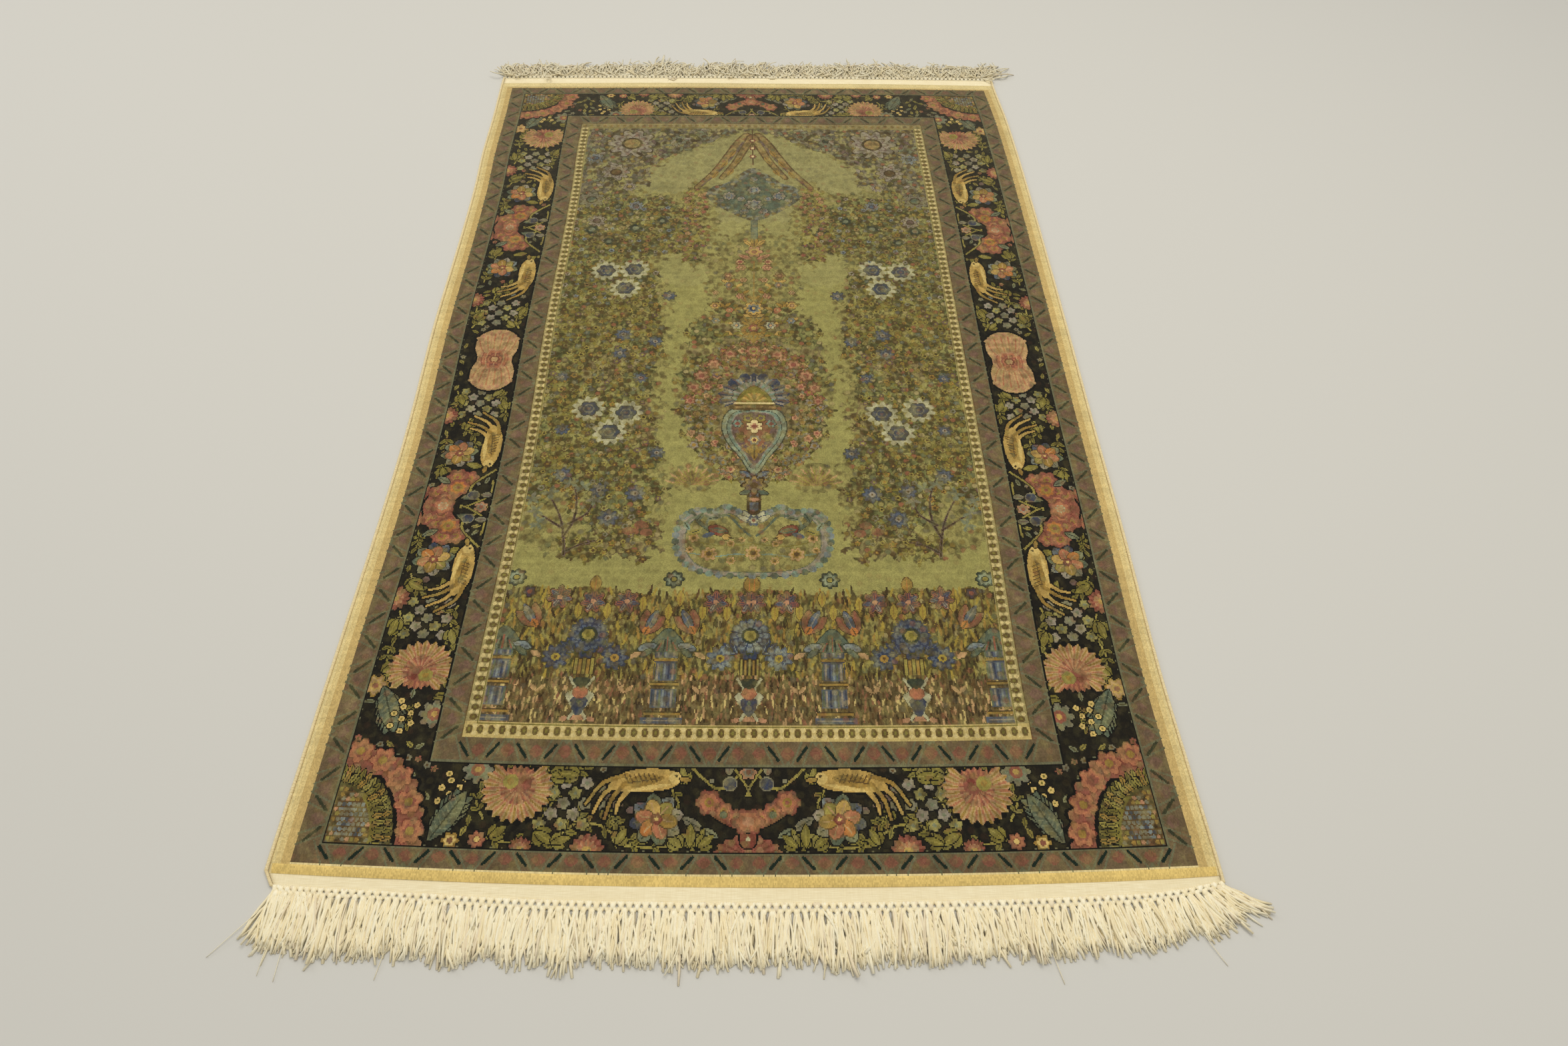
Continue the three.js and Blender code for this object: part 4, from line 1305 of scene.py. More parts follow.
def wreath():
    """A thick ring of small leaves and faded roses around the vase"""
    warm = ("russet", "pink", "rose", "peach", "mauve", "tan", "russet")
    pale = ("tan", "tan", "lilac", "peach", "grey", "pink", "tan")
    for ring, (wide, tall, count) in enumerate(((91, 130, 36), (79, 117, 34), (67, 103, 28), (56, 89, 18))):
        for i in range(count):
            turn = math.tau * (i + 0.5 * (ring % 2)) / count
            x, y = -abs(math.cos(turn)) * wide, 642 + math.sin(turn) * tall
            x += float(rng.uniform(-3.5, 3.5))
            y += float(rng.uniform(-3.5, 3.5))
            spin, kind = float(rng.uniform(0, 360)), int(rng.integers(7))
            if y < 548 and ring > 1:
                continue
            for part, dye in ((0, "leaf_dark"), (160, "grey"), (85, "olive")):
                rug.leaf(x, y, 11.5, 4.8, spin + part, dye)
            petal = (warm if y > 655 else pale)[kind]
            size = float(rng.uniform(5.4, 8.6))
            rings = [(1.0, "brown"), (0.84, petal), (0.34, "rose" if kind % 2 else "gold_deep")]
            rug.bloom(x, y, size, 5, rings, turn=spin)
    for x, y, size in (
        (-74, 706, 13), (-85, 682, 11), (-57, 729, 12), (-34, 750, 11), (-89, 656, 9), (-66, 684, 9),
    ):
        rings = [(1.0, "brown"), (0.88, "russet"), (0.68, "pink"), (0.34, "rose")]
        rug.bloom(x, y, size, 6, rings, turn=x, depth=0.28)
    for y, size in ((757, 15), (737, 8), (777, 8)):
        rug.bloom(
            0, y, size, 8,
            [(1.0, "brown"), (0.86, "russet"), (0.6, "pink"), (0.4, "olive_pale"), (0.2, "rose")],
            depth=0.26,
        )
    # Two soft fans of narrow leaves under it
    rug.disc(-80, 518, 34, "field_pale", tall=26)
    for size, dyes in (
        (38, ["tan", "field_pale", "peach", "olive_pale"]), (26, ["tan", "olive_pale", "tan"]),
    ):
        rug.fan(-80, 504, size, 4, 176, 8, dyes, depth=0.3, tall=0.95)


def plume():
    """The flowering spray over the wreath"""
    for points in (
        [(0, 776), (-14, 800), (-34, 816), (-58, 820)], [(0, 790), (-12, 826), (-34, 850), (-58, 854)],
        [(0, 800), (-8, 850), (-20, 890), (-38, 910)], [(0, 770), (0, 850), (0, 960)],
        [(0, 780), (-26, 792), (-50, 786)],
    ):
        rug.stroke(points, 3.4, "gold_deep", tip=0.6)
        line = smooth(points)
        for i in range(3, len(line), 3):
            for side in (-1, 1):
                rug.leaf(
                    line[i][0], line[i][1], 13, 5.6, 90 + side * 55 + float(rng.uniform(-15, 15)),
                    ("gold", "gold_deep", "olive")[int(rng.integers(3))], rim=("brown", 0.6),
                )
    for x, y, radius, petal in (
        (-25, 812, 10, "white"), (-56, 822, 8, "blue_pale"), (-58, 856, 9, "gold"), (-36, 846, 7, "salmon"),
        (-20, 878, 8, "pink"), (-40, 926, 10, "tan"), (-20, 946, 9, "pink"), (-38, 904, 8, "grey"),
        (-58, 886, 6, "peach"), (-16, 916, 7, "peach"),
    ):
        middle = "blue" if petal in ("white", "blue_pale") else "russet"
        rings = [(1.0, "brown"), (0.84, petal), (0.5, middle), (0.24, "peach")]
        rug.bloom(x, y, radius, 6, rings, depth=0.28)
    rug.bloom(
        0, 850, 17, 8,
        [(1.0, "brown"), (0.88, "gold"), (0.6, "blue_pale"), (0.36, "blue_deep"), (0.16, "gold")],
        depth=0.26,
    )
    rug.bloom(0, 806, 10, 6, [(1.0, "brown"), (0.84, "rose"), (0.4, "gold")], depth=0.28)
    rug.bloom(0, 985, 15, 6, [(1.0, "brown"), (0.9, "pink"), (0.6, "gold"), (0.3, "rose")])
    rug.leaf(0, 995, 30, 12, 90, "gold_deep", vein="brown", rim=("brown", 0.8))
    for own in rug.halves():
        own.leaf(-4, 966, 24, 9, 150, "pink", vein="rose", rim=("brown", 0.6))
        own.leaf(-4, 1000, 20, 8, 130, "gold", vein="brown", rim=("brown", 0.6))
        own.bloom(-22, 960, 8, 6, [(1.0, "brown"), (0.8, "peach"), (0.4, "rose")])


def lamp():
    """The lamp that hangs from the arch, with its curved gold arms"""
    rug.stroke([(0, 1022), (0, 1070)], 9, "teal_pale", rim=("teal", 1))
    outer = [
        (0, 1066), (-24, 1076), (-58, 1104), (-80, 1134), (-70, 1160), (-48, 1170), (-28, 1192), (0, 1216),
    ]
    inner = [
        (0, 1078), (-26, 1092), (-50, 1110), (-64, 1134), (-50, 1148), (-34, 1156), (-18, 1180), (0, 1198),
    ]
    rug.shape(mirrored(outer), "lamp")
    rug.shape(mirrored(inner), "teal")
    for x, y, radius in (
        (0, 1110, 17), (-42, 1134, 13), (0, 1150, 13), (-22, 1126, 8), (0, 1182, 8), (-16, 1092, 8),
        (-56, 1122, 6),
    ):
        rings = [(1.0, "teal_dark"), (0.86, "lilac"), (0.58, "blue"), (0.34, "blue_pale")]
        rug.bloom(x, y, radius, 8, rings, depth=0.26)
    for points in (
        [(-10, 1316), (-26, 1290), (-44, 1250), (-66, 1204), (-96, 1158)],
        [(-2, 1310), (-14, 1276), (-30, 1232), (-54, 1186)],
    ):
        rug.stroke(points, 19, "brown", tip=0.6)
        rug.stroke(points, 12, "tan", tip=0.6)
    rug.stroke([(-16, 1296), (-34, 1252), (-58, 1206), (-88, 1164)], 5, "mauve", tip=0.5)
    for x, y in ((-30, 1270), (-44, 1238), (-60, 1206), (-20, 1250), (-34, 1214)):
        rug.leaf(x, y, 24, 9, 245, "gold_deep", vein="brown")
    rug.stroke([(0, 1336), (0, 1226)], 3, "brown")
    for y in (1250, 1276, 1300):
        rug.bloom(0, y, 7, 6, [(1.0, "brown"), (0.8, "rose"), (0.4, "cream")])


def pendants():
    """Clusters of faded roses that hang at both sides of the lamp"""
    for i in range(17):
        y = 966 + i * 11.5
        half = 24 - 0.9 * i if i > 3 else 10 + 4 * i
        for part in range(4):
            x = -98 + (part - 1.5) / 1.5 * half + float(rng.uniform(-7, 7))
            spin, kind = float(rng.uniform(0, 360)), int(rng.integers(8))
            for lean in (0, 140):
                rug.leaf(
                    x, y, 11, 5, spin + lean, ("leaf_dark", "olive", "olive_pale", "bush_gold")[kind % 4],
                )
            if kind > 4:
                continue
            petal = ("mauve", "russet", "tan", "pink", "russet")[kind]
            rug.bloom(
                x, y + float(rng.uniform(-3, 3)), 5.8, 5,
                [(1.0, "brown"), (0.84, petal), (0.4, "tan" if kind % 2 else "rose")], turn=spin,
            )


def spandrels():
    """The corner pieces over the arch, with large rosettes"""
    arch = [
        (4, 1334), (-40, 1314), (-84, 1284), (-122, 1262), (-150, 1240), (-176, 1222), (-214, 1196),
        (-238, 1150), (-262, 1120), (-296, 1096),
    ]
    outline = np.vstack([smooth(arch), [(-300, 1345), (4, 1345)]])
    rug.shape(outline, "spandrel", round_it=False)
    rug.stroke(arch, 6, "field_pale")
    ragged(1.6)
    for x, y, radius, petal, heart_dye in (
        (-212, 1290, 46, "lilac", "tan"), (-235, 1202, 26, "lilac", "brown"),
        (-270, 1122, 24, "grey", "teal"), (-256, 1064, 17, "lilac", "mauve"),
        (-196, 1106, 14, "blue_pale", "blue"), (-210, 1160, 13, "lilac", "tan"),
        (-130, 1300, 17, "teal_pale", "teal_dark"), (-86, 1312, 12, "teal_pale", "brown"),
        (-272, 1244, 16, "blue_pale", "blue"), (-160, 1262, 11, "mauve", "lilac"),
        (-276, 1316, 14, "mauve", "rose"),
    ):
        rings = [
            (1.0, "brown_dark"), (0.93, petal), (0.66, "mauve"), (0.57, petal), (0.4, "brown_dark"),
            (0.3, heart_dye),
        ]
        rug.bloom(x, y, radius, 10, rings)
    for i in range(110):
        x, y = float(rng.uniform(-288, -40)), float(rng.uniform(1130, 1334))
        spin = float(rng.uniform(0, 360))
        dye = ("lilac", "mauve", "grey", "leaf_dark", "teal_pale", "brown_dark")[int(rng.integers(6))]
        at_row, at_column = int(y / KNOT_HEIGHT), int((x + CHART_HALF) / KNOT_WIDTH)
        if knots[at_row, at_column] == DYE_INDEX["spandrel"]:
            rug.leaf(x, y, 15, 6.5, spin, dye, rim=("brown_dark", 0.6))


def paint_field():
    """Everything inside the guards, from the ground up"""
    band(INNER_GUARD, "field")
    # The ground is painted a little greyer in two steps towards the far end: painted sheen
    for near, dye in ((900, "field_mid_sheen"), (1060, "field_far_sheen")):
        rug.box(-FIELD[2], near, 0, FIELD[1], dye)
    bush_area()
    spandrels()
    bush_flowers()
    shrubs()
    field_blooms()
    panel()
    dish()
    wreath()
    vase()
    plume()
    pendants()
    lamp()


# Materials


def srgb(red, green, blue):
    """Linear colour from an everyday red, green and blue from 0 to 255"""
    def channel(value):
        value /= 255
        return value / 12.92 if value <= 0.04045 else ((value + 0.055) / 1.055) ** 2.4
    return tuple(channel(value) for value in (red, green, blue))


def opaque(red, green, blue):
    """The same with full cover, as the nodes of a look take it"""
    return (*srgb(red, green, blue), 1)


class Look:
    """A node material under construction, with short names for the nodes it needs"""

    def __init__(self, name, roughness, **sockets):
        self.material = bpy.data.materials.new(name)
        self.material.use_nodes = True
        self.nodes = self.material.node_tree.nodes
        self.links = self.material.node_tree.links
        self.shader = self.nodes["Principled BSDF"]
        self.shader.inputs["Roughness"].default_value = roughness
        for socket, value in sockets.items():
            self.shader.inputs[socket.replace("_", " ")].default_value = value

    def feed(self, socket, value):
        if isinstance(value, bpy.types.NodeSocket):
            self.links.new(value, socket)
        else:
            socket.default_value = value

    def node(self, kind, output=0, inputs=None, **settings):
        made = self.nodes.new(kind)
        for key, value in settings.items():
            setattr(made, key, value)
        for key, value in (inputs or {}).items():
            self.feed(made.inputs[key], value)
        return made.outputs[output]

    def math(self, operation, a, b):
        return self.node("ShaderNodeMath", operation=operation, inputs={0: a, 1: b})

    def mix(self, factor, a, b, how="MIX"):
        made = self.nodes.new("ShaderNodeMix")
        made.data_type = "RGBA"
        made.blend_type = how
        self.feed(made.inputs[0], factor)
        self.feed(made.inputs[6], a)
        self.feed(made.inputs[7], b)
        return made.outputs[2]

    def range(self, value, low, high, to_low, to_high):
        return self.node("ShaderNodeMapRange", inputs={0: value, 1: low, 2: high, 3: to_low, 4: to_high})

    def noise(self, vector, scale, detail):
        return self.node("ShaderNodeTexNoise", 0, {"Vector": vector, "Scale": scale, "Detail": detail})

    def stretch(self, vector, scale):
        return self.node("ShaderNodeVectorMath", operation="MULTIPLY", inputs={0: vector, 1: scale})

    def bump(self, height, distance, strength):
        return self.node(
            "ShaderNodeBump", inputs={"Height": height, "Distance": distance, "Strength": strength},
        )

    def paint(self, colour, normal):
        """Finish the material: the last step of every look"""
        self.feed(self.shader.inputs["Base Color"], colour)
        self.feed(self.shader.inputs["Normal"], normal)
        return self.material


# The small round blossoms of the busy dyes: where each starts on a scale of chance, and its dye
FLECK_DYES = (
    (0.0, (84, 68, 38)), (0.26, (150, 140, 84)), (0.44, (128, 108, 52)), (0.58, (142, 92, 66)),
    (0.68, (104, 108, 74)), (0.78, (166, 152, 104)), (0.86, (92, 90, 78)), (0.94, (70, 60, 34)),
)


def silk_pile_look():
    """Cut silk: each knot has its own shade, flecks of other yarn break up the dyes, rows
    show faintly, and dye lots run across"""
    look = Look("silk_pile", 0.72, Sheen_Weight=0.16, Sheen_Roughness=0.35, Specular_IOR_Level=0.12)
    look.shader.inputs["Sheen Tint"].default_value = (0.95, 0.88, 0.68, 1)
    dye = look.node("ShaderNodeAttribute", 0, attribute_name="dye")
    busy = dye.node.outputs["Alpha"]
    chart = look.node("ShaderNodeUVMap", uv_map="chart")
    in_knots = look.node(
        "ShaderNodeVectorMath", operation="FLOOR",
        inputs={0: look.stretch(chart, (1 / KNOT_WIDTH, 1 / KNOT_HEIGHT, 1))},
    )
    at = look.stretch(in_knots, (KNOT_WIDTH, KNOT_HEIGHT, 1))

    def flecked(colour, amount, fleck):
        """A fleck over the colour, where the dye is a busy one"""
        return look.mix(look.math("MULTIPLY", busy, amount), colour, fleck)

    # Clumps of darker leaves with glimpses of the field between them, and warmer patches
    clumps = look.noise(look.stretch(at, (0.055, 0.04, 1)), 1.0, 3.0)
    warm = look.noise(look.stretch(at, (0.031, 0.026, 1)), 1.0, 1.0)
    colour = flecked(dye, look.range(warm, 0.46, 0.6, 0, 0.25), opaque(126, 100, 60))
    colour = flecked(colour, look.range(clumps, 0.38, 0.49, 0.85, 0), opaque(152, 147, 88))
    colour = flecked(colour, look.range(clumps, 0.5, 0.6, 0, 0.8), opaque(70, 69, 42))
    # Slender dark and pale flecks, then small round blossoms in their own dyes
    dark = look.noise(look.stretch(at, (0.16, 0.11, 1)), 1.0, 2.0)
    shifted = look.node(
        "ShaderNodeVectorMath", operation="ADD",
        inputs={0: look.stretch(at, (0.14, 0.1, 1)), 1: (57.3, 91.7, 0)},
    )
    pale = look.noise(shifted, 1.0, 2.0)
    colour = flecked(colour, look.range(dark, 0.52, 0.60, 0, 0.75), opaque(60, 55, 34))
    colour = flecked(colour, look.range(pale, 0.55, 0.63, 0, 0.55), opaque(156, 146, 92))
    cells = look.node(
        "ShaderNodeTexVoronoi", 0, {"Vector": at, "Scale": 1 / 12, "Randomness": 0.95},
        voronoi_dimensions="2D",
    )
    choice = look.node("ShaderNodeSeparateColor", 0, {0: cells.node.outputs["Color"]})
    ramp = look.node("ShaderNodeValToRGB", 0, {0: choice})
    elements = ramp.node.color_ramp
    elements.interpolation = "CONSTANT"
    for i, (start, fleck) in enumerate(FLECK_DYES):
        element = elements.elements[i] if i < 2 else elements.elements.new(start)
        element.position = start
        element.color = opaque(*fleck)
    colour = flecked(colour, look.range(cells, 0.36, 0.46, 0.6, 0), opaque(66, 53, 30))
    colour = flecked(colour, look.range(cells, 0.26, 0.34, 0.8, 0), ramp)
    one_knot = look.node("ShaderNodeTexWhiteNoise", 0, {"Vector": in_knots}, noise_dimensions="2D")
    lots = look.noise(look.stretch(chart, (0.004, 0.12, 1)), 1.0, 3.0)
    worn = look.noise(chart, 0.03, 3.0)
    shade = look.range(one_knot, 0, 1, 0.82, 1.14)
    shade = look.math("MULTIPLY", shade, look.range(lots, 0.3, 0.7, 0.9, 1.08))
    shade = look.math("MULTIPLY", shade, look.range(worn, 0.3, 0.7, 0.92, 1.08))
    # The far end is painted a little paler and greyer: painted sheen, as silk shows when seen at a grazing
    # angle
    far = look.node("ShaderNodeSeparateXYZ", 1, {0: chart})
    colour = look.mix(look.range(far, 850, 1500, 0, 0.11), colour, opaque(124, 118, 96))
    grey = look.node("ShaderNodeCombineColor", inputs={0: shade, 1: shade, 2: shade})
    colour = look.mix(1.0, colour, grey, "MULTIPLY")
    tufts = look.noise(look.stretch(chart, (0.9, 0.7, 1)), 1.0, 2.0)
    return look.paint(colour, look.bump(tufts, 0.0006, 0.5))


def close_below(top, ring, height):
    """All points, the walls and the underside of a body, from its top and the ring of points
    round that"""
    under = top[ring].copy()
    under[:, 2] = height * MM
    below = len(top) + np.arange(len(ring))
    wall = np.stack([below, np.roll(below, -1), np.roll(ring, -1), ring], axis=1)
    return np.concatenate([top, under]), wall, below[::-1]


# The knotted pile

COLUMNS = 2 * HALF_COLUMNS
LONGEST_RUN = 45


def knot_tops(columns, rows):
    """Height of the pile at the corners of knots, counted from the left and the near end"""
    across = columns / COLUMNS * 2 - 1
    along = rows / ROWS
    edge = np.minimum.reduce([columns, COLUMNS - columns, rows, ROWS - rows])
    rounding = np.interp(edge, (0, 1, 2, 4), (1, 0.6, 0.34, 0))
    height = PILE_HEIGHT + SWELL_HEIGHT * np.sin(SWELL_ACROSS * across + SWELL_ALONG * along)
    return height - rounding * (PILE_HEIGHT - PILE_EDGE_HEIGHT)


def pile_strips(chart, count, root_height):
    """The pile as closed strips along the rug. Knots of one dye in a row are one patch, and
    neighbouring rows share their corners, so that the surface has no cracks."""
    corner = np.zeros((ROWS + 1, COLUMNS + 1), bool)
    change = np.ones((ROWS, COLUMNS + 1), bool)
    change[:, 1:-1] = chart[:, 1:] != chart[:, :-1]
    change[:, ::LONGEST_RUN] = True
    for edge in (1, 2, 4):
        change[:, [edge, COLUMNS - edge]] = True
    load = np.cumsum(change.sum(axis=0))
    cuts = [int(np.searchsorted(load, load[-1] * i / count)) for i in range(1, count)]
    cuts = [0, *cuts, COLUMNS]
    change[:, cuts] = True
    corner[:-1] |= change
    corner[1:] |= change
    return [
        pile_strip(chart, corner, start, end, i, root_height)
        for i, (start, end) in enumerate(zip(cuts, cuts[1:]))
    ]


def pile_strip(chart, corner, start, end, number, root_height):
    """One closed strip of pile from column start to column end"""
    at_row, at_column = np.nonzero(corner[:, start : end + 1])
    at_column += start
    index = np.full(corner.shape, -1)
    index[at_row, at_column] = np.arange(len(at_row))
    # A row is a zip of the corners below and above it, taken from left to right
    triangles, dyes = [], []
    for row in range(ROWS):
        low = np.nonzero(corner[row, start : end + 1])[0] + start
        high = np.nonzero(corner[row + 1, start : end + 1])[0] + start
        column = np.concatenate([low, high])
        upper = np.concatenate([np.zeros(len(low), bool), np.ones(len(high), bool)])
        order = np.lexsort((upper, column))
        column, upper = column[order], upper[order]
        point = index[row + upper, column]
        step = np.arange(len(point))
        last_low = np.maximum.accumulate(np.where(~upper, step, -1))
        last_high = np.maximum.accumulate(np.where(upper, step, -1))
        new = step[2:]
        triangles.append(np.stack([point[last_low[new - 1]], point[new], point[last_high[new - 1]]], axis=1))
        dyes.append(chart[row, column[new] - 1])
    triangles, dyes = np.concatenate(triangles), np.concatenate(dyes)

    # The first rows are a little longer, as the near edge rolls over
    lip = NEAR_LIP * np.clip(1 - at_row / 6, 0, 1)
    x, y = place(at_column / COLUMNS * 2 - 1, at_row / ROWS, -lip, CLOTH_INSET)
    top = to_frame(x, y, knot_tops(at_column, at_row))
    # The wall goes round the strip, and the underside closes it
    ring = np.concatenate([
        index[0, start : end + 1], index[1:, end], index[ROWS, start:end][::-1], index[1:ROWS, start][::-1],
    ])
    ring = ring[ring >= 0]
    points, wall, underside = close_below(top, ring, root_height)
    corners = np.concatenate([triangles.ravel(), wall.ravel(), underside])
    sizes = np.concatenate([np.full(len(triangles), 3), np.full(len(wall), 4), [len(ring)]])
    piece = mesh_from(f"silk_pile_{number + 1}", points, corners, sizes, "silk_pile", LOOKS["silk_pile"])

    mesh = piece.data
    mesh.polygons.foreach_set("use_smooth", np.zeros(len(sizes), bool))
    dye_of_face = np.concatenate([dyes, chart[0, start] * np.ones(len(wall) + 1, int)]).astype(int)
    colours = np.array([(*srgb(*dye[:3]), dye[3]) for dye in DYES.values()], np.float32)
    by_corner = colours[np.repeat(dye_of_face, sizes)]
    attribute = mesh.color_attributes.new("dye", "FLOAT_COLOR", "CORNER")
    attribute.data.foreach_set("color", by_corner.ravel())
    flat = np.stack(
        [np.concatenate([at_column, at_column[ring]]), np.concatenate([at_row, at_row[ring]])], axis=1,
    )
    for name, low, size in (
        ("OFBake", (start, 0), (end - start, ROWS)), ("chart", (0, 0), (1 / KNOT_WIDTH, 1 / KNOT_HEIGHT)),
    ):
        uv = mesh.uv_layers.new(name=name)
        uv.data.foreach_set("uv", ((flat - low) / size)[corners].astype(np.float32).ravel())
    return piece


# Threads and yarns


def tubes(lines, widths, sides, flat=1.0):
    """Closed tubes along lines (tube, ring, 3) of the given widths (tube, ring)"""
    count, rings, _ = lines.shape
    ahead = np.gradient(lines, axis=1)
    ahead /= np.linalg.norm(ahead, axis=2, keepdims=True) + 1e-9
    side = np.cross(ahead, (0, 0, 1.0))
    side /= np.linalg.norm(side, axis=2, keepdims=True) + 1e-9
    up = np.cross(side, ahead)
    turn = 2 * math.pi * np.arange(sides) / sides + math.pi / 2
    half = widths[:, :, None, None] / 2
    offset = np.cos(turn)[:, None] * side[:, :, None, :] + flat * np.sin(turn)[:, None] * up[:, :, None, :]
    points = (lines[:, :, None, :] + half * offset).reshape(-1, 3)
    index = np.arange(count * rings * sides).reshape(count, rings, sides)
    along = np.roll(index, -1, axis=2)
    quads = np.stack([index[:, :-1], along[:, :-1], along[:, 1:], index[:, 1:]], axis=-1).reshape(-1, 4)
    first, last = index[:, 0, ::-1], index[:, -1]
    corners = np.concatenate([quads.ravel(), first.ravel(), last.ravel()])
    sizes = np.concatenate([np.full(len(quads), 4), np.full(2 * count, sides)])
    return points, corners, sizes


def join(parts):
    """One list of points, corners and sizes from several"""
    points, corners, sizes, start = [], [], [], 0
    for part_points, part_corners, part_sizes in parts:
        points.append(part_points)
        corners.append(part_corners + start)
        sizes.append(part_sizes)
        start += len(part_points)
    return np.concatenate(points), np.concatenate(corners), np.concatenate(sizes)


# The woven foundation, whose flat bands show past the pile

RIB_PITCH = 1.4


def foundation():
    """The whole cloth under the pile, with the fine ribs of its bands"""
    ribs = round(BAND_LENGTH / RIB_PITCH * 2)
    band_rows = np.linspace(BAND_LENGTH, 0, ribs + 1)
    rib = BAND_HEIGHT + 0.07 * (-1.0) ** np.arange(ribs + 1)
    middle = np.linspace(0, 1, 61)[1:-1]
    along = np.concatenate([np.zeros(ribs + 1), middle, np.ones(ribs + 1)])
    beyond = np.concatenate([-band_rows, np.zeros(len(middle)), band_rows[::-1]])
    height = np.concatenate([rib, np.full(len(middle), BAND_HEIGHT), rib[::-1]])
    across = np.linspace(-1, 1, 161)
    rows, columns = len(along), len(across)
    x, y = place(across[None, :], along[:, None], beyond[:, None], CLOTH_INSET)
    ripple = 0.25 * np.sin(across[None, :] * 31 + along[:, None])
    ripple = ripple * np.clip(np.abs(beyond[:, None]) / 12, 0, 1)
    top = to_frame(x, y, height[:, None] + 0.1 * ripple)
    index = np.arange(rows * columns).reshape(rows, columns)
    quads = np.stack([index[:-1, :-1], index[:-1, 1:], index[1:, 1:], index[1:, :-1]], axis=-1).reshape(-1, 4)
    ring = np.concatenate([index[0], index[1:, -1], index[-1, :-1][::-1], index[1:-1, 0][::-1]])
    points, wall, underside = close_below(top, ring, 0)
    corners = np.concatenate([quads.ravel(), wall.ravel(), underside])
    sizes = np.concatenate([np.full(len(quads) + len(wall), 4), [len(ring)]])
    piece = mesh_from("rug_foundation", points, corners, sizes, "band_weave", LOOKS["band_weave"])
    mesh = piece.data
    mesh.polygons.foreach_set("use_smooth", np.arange(len(sizes)) < len(quads))
    flat = np.stack(
        np.broadcast_arrays((across[None, :] + 1) / 2, (y - y.min()) / np.ptp(y)), axis=-1,
    ).reshape(-1, 2)
    flat = np.concatenate([flat, flat[ring]])
    uv = mesh.uv_layers.new(name="OFBake")
    uv.data.foreach_set("uv", flat[corners].astype(np.float32).ravel())
    return piece


# The overcast cord along each side: a yarn wrapped round the edge warps

WRAP_PITCH = 3.0
WRAP_RINGS = 3
CORD_SECTION = (
    (0.30, 0.0), (0.5, 0.3), (0.46, 0.72), (0.2, 1.0), (-0.2, 1.0), (-0.46, 0.72), (-0.5, 0.3),
    (-0.30, 0.0),
)


def side_cord(name, side):
    """A cord as long as the cloth, with the ridges of its wrapped yarn"""
    total = CHART_LENGTH + 2 * BAND_LENGTH
    rings = round(total / WRAP_PITCH * WRAP_RINGS)
    at = np.linspace(-BAND_LENGTH, CHART_LENGTH + BAND_LENGTH, rings)
    along = np.clip(at / CHART_LENGTH, 0, 1)
    beyond = np.where(at < 0, at, np.where(at > CHART_LENGTH, at - CHART_LENGTH, 0))
    x, y = place(side, along, beyond, CORD_WIDTH / 2)
    section = np.array(CORD_SECTION)
    turn = np.arctan2(section[:, 1] - 0.5, section[:, 0])
    ridge = np.cos(2 * math.pi * np.arange(rings)[:, None] / WRAP_RINGS + turn[None, :])
    slack = 0.03 * np.sin(at * 0.11) + 0.02 * np.sin(at * 0.37 + 1)
    swell = 1 + 0.075 * ridge + slack[:, None]
    out = section[None, :, 0] * CORD_WIDTH * swell
    up = CORD_HEIGHT * np.clip(0.5 + (section[None, :, 1] - 0.5) * swell, 0, 2)
    points = to_frame(x[:, None] + out, y[:, None] + 0 * out, up)
    sides = len(section)
    index = np.arange(rings * sides).reshape(rings, sides)
    beside = np.roll(index, -1, axis=1)
    quads = np.stack([index[:-1], index[1:], beside[1:], beside[:-1]], axis=-1).reshape(-1, 4)
    corners = np.concatenate([quads.ravel(), index[0], index[-1][::-1]])
    sizes = np.concatenate([np.full(len(quads), 4), [sides, sides]])
    piece = mesh_from(name, points, corners, sizes, "overcast_silk", LOOKS["overcast_silk"])
    shade_smooth(piece)
    return piece


# The fringes: warp ends knotted in two rows, then loose. How far the threads lean to the right
# (degrees), at places across the rug.

NEAR_LEAN = ((-1, -0.93, -0.8, -0.6, 0, 0.6, 0.88, 0.95, 1), (-6, -3, 0, -2, 2, 6, 14, 34, 66))
FAR_LEAN = ((-1, -0.85, 0, 0.85, 1), (-22, -6, 2, 8, 40))
KNOT_ROWS = (23.4, 29.4)
KNOT_STEP = 7.8


def points_of(x, y, z):
    """Metres for arrays of millimetres, kept in their shape"""
    return to_frame(x, y, z).reshape(*np.broadcast(x, y, z).shape, 3)


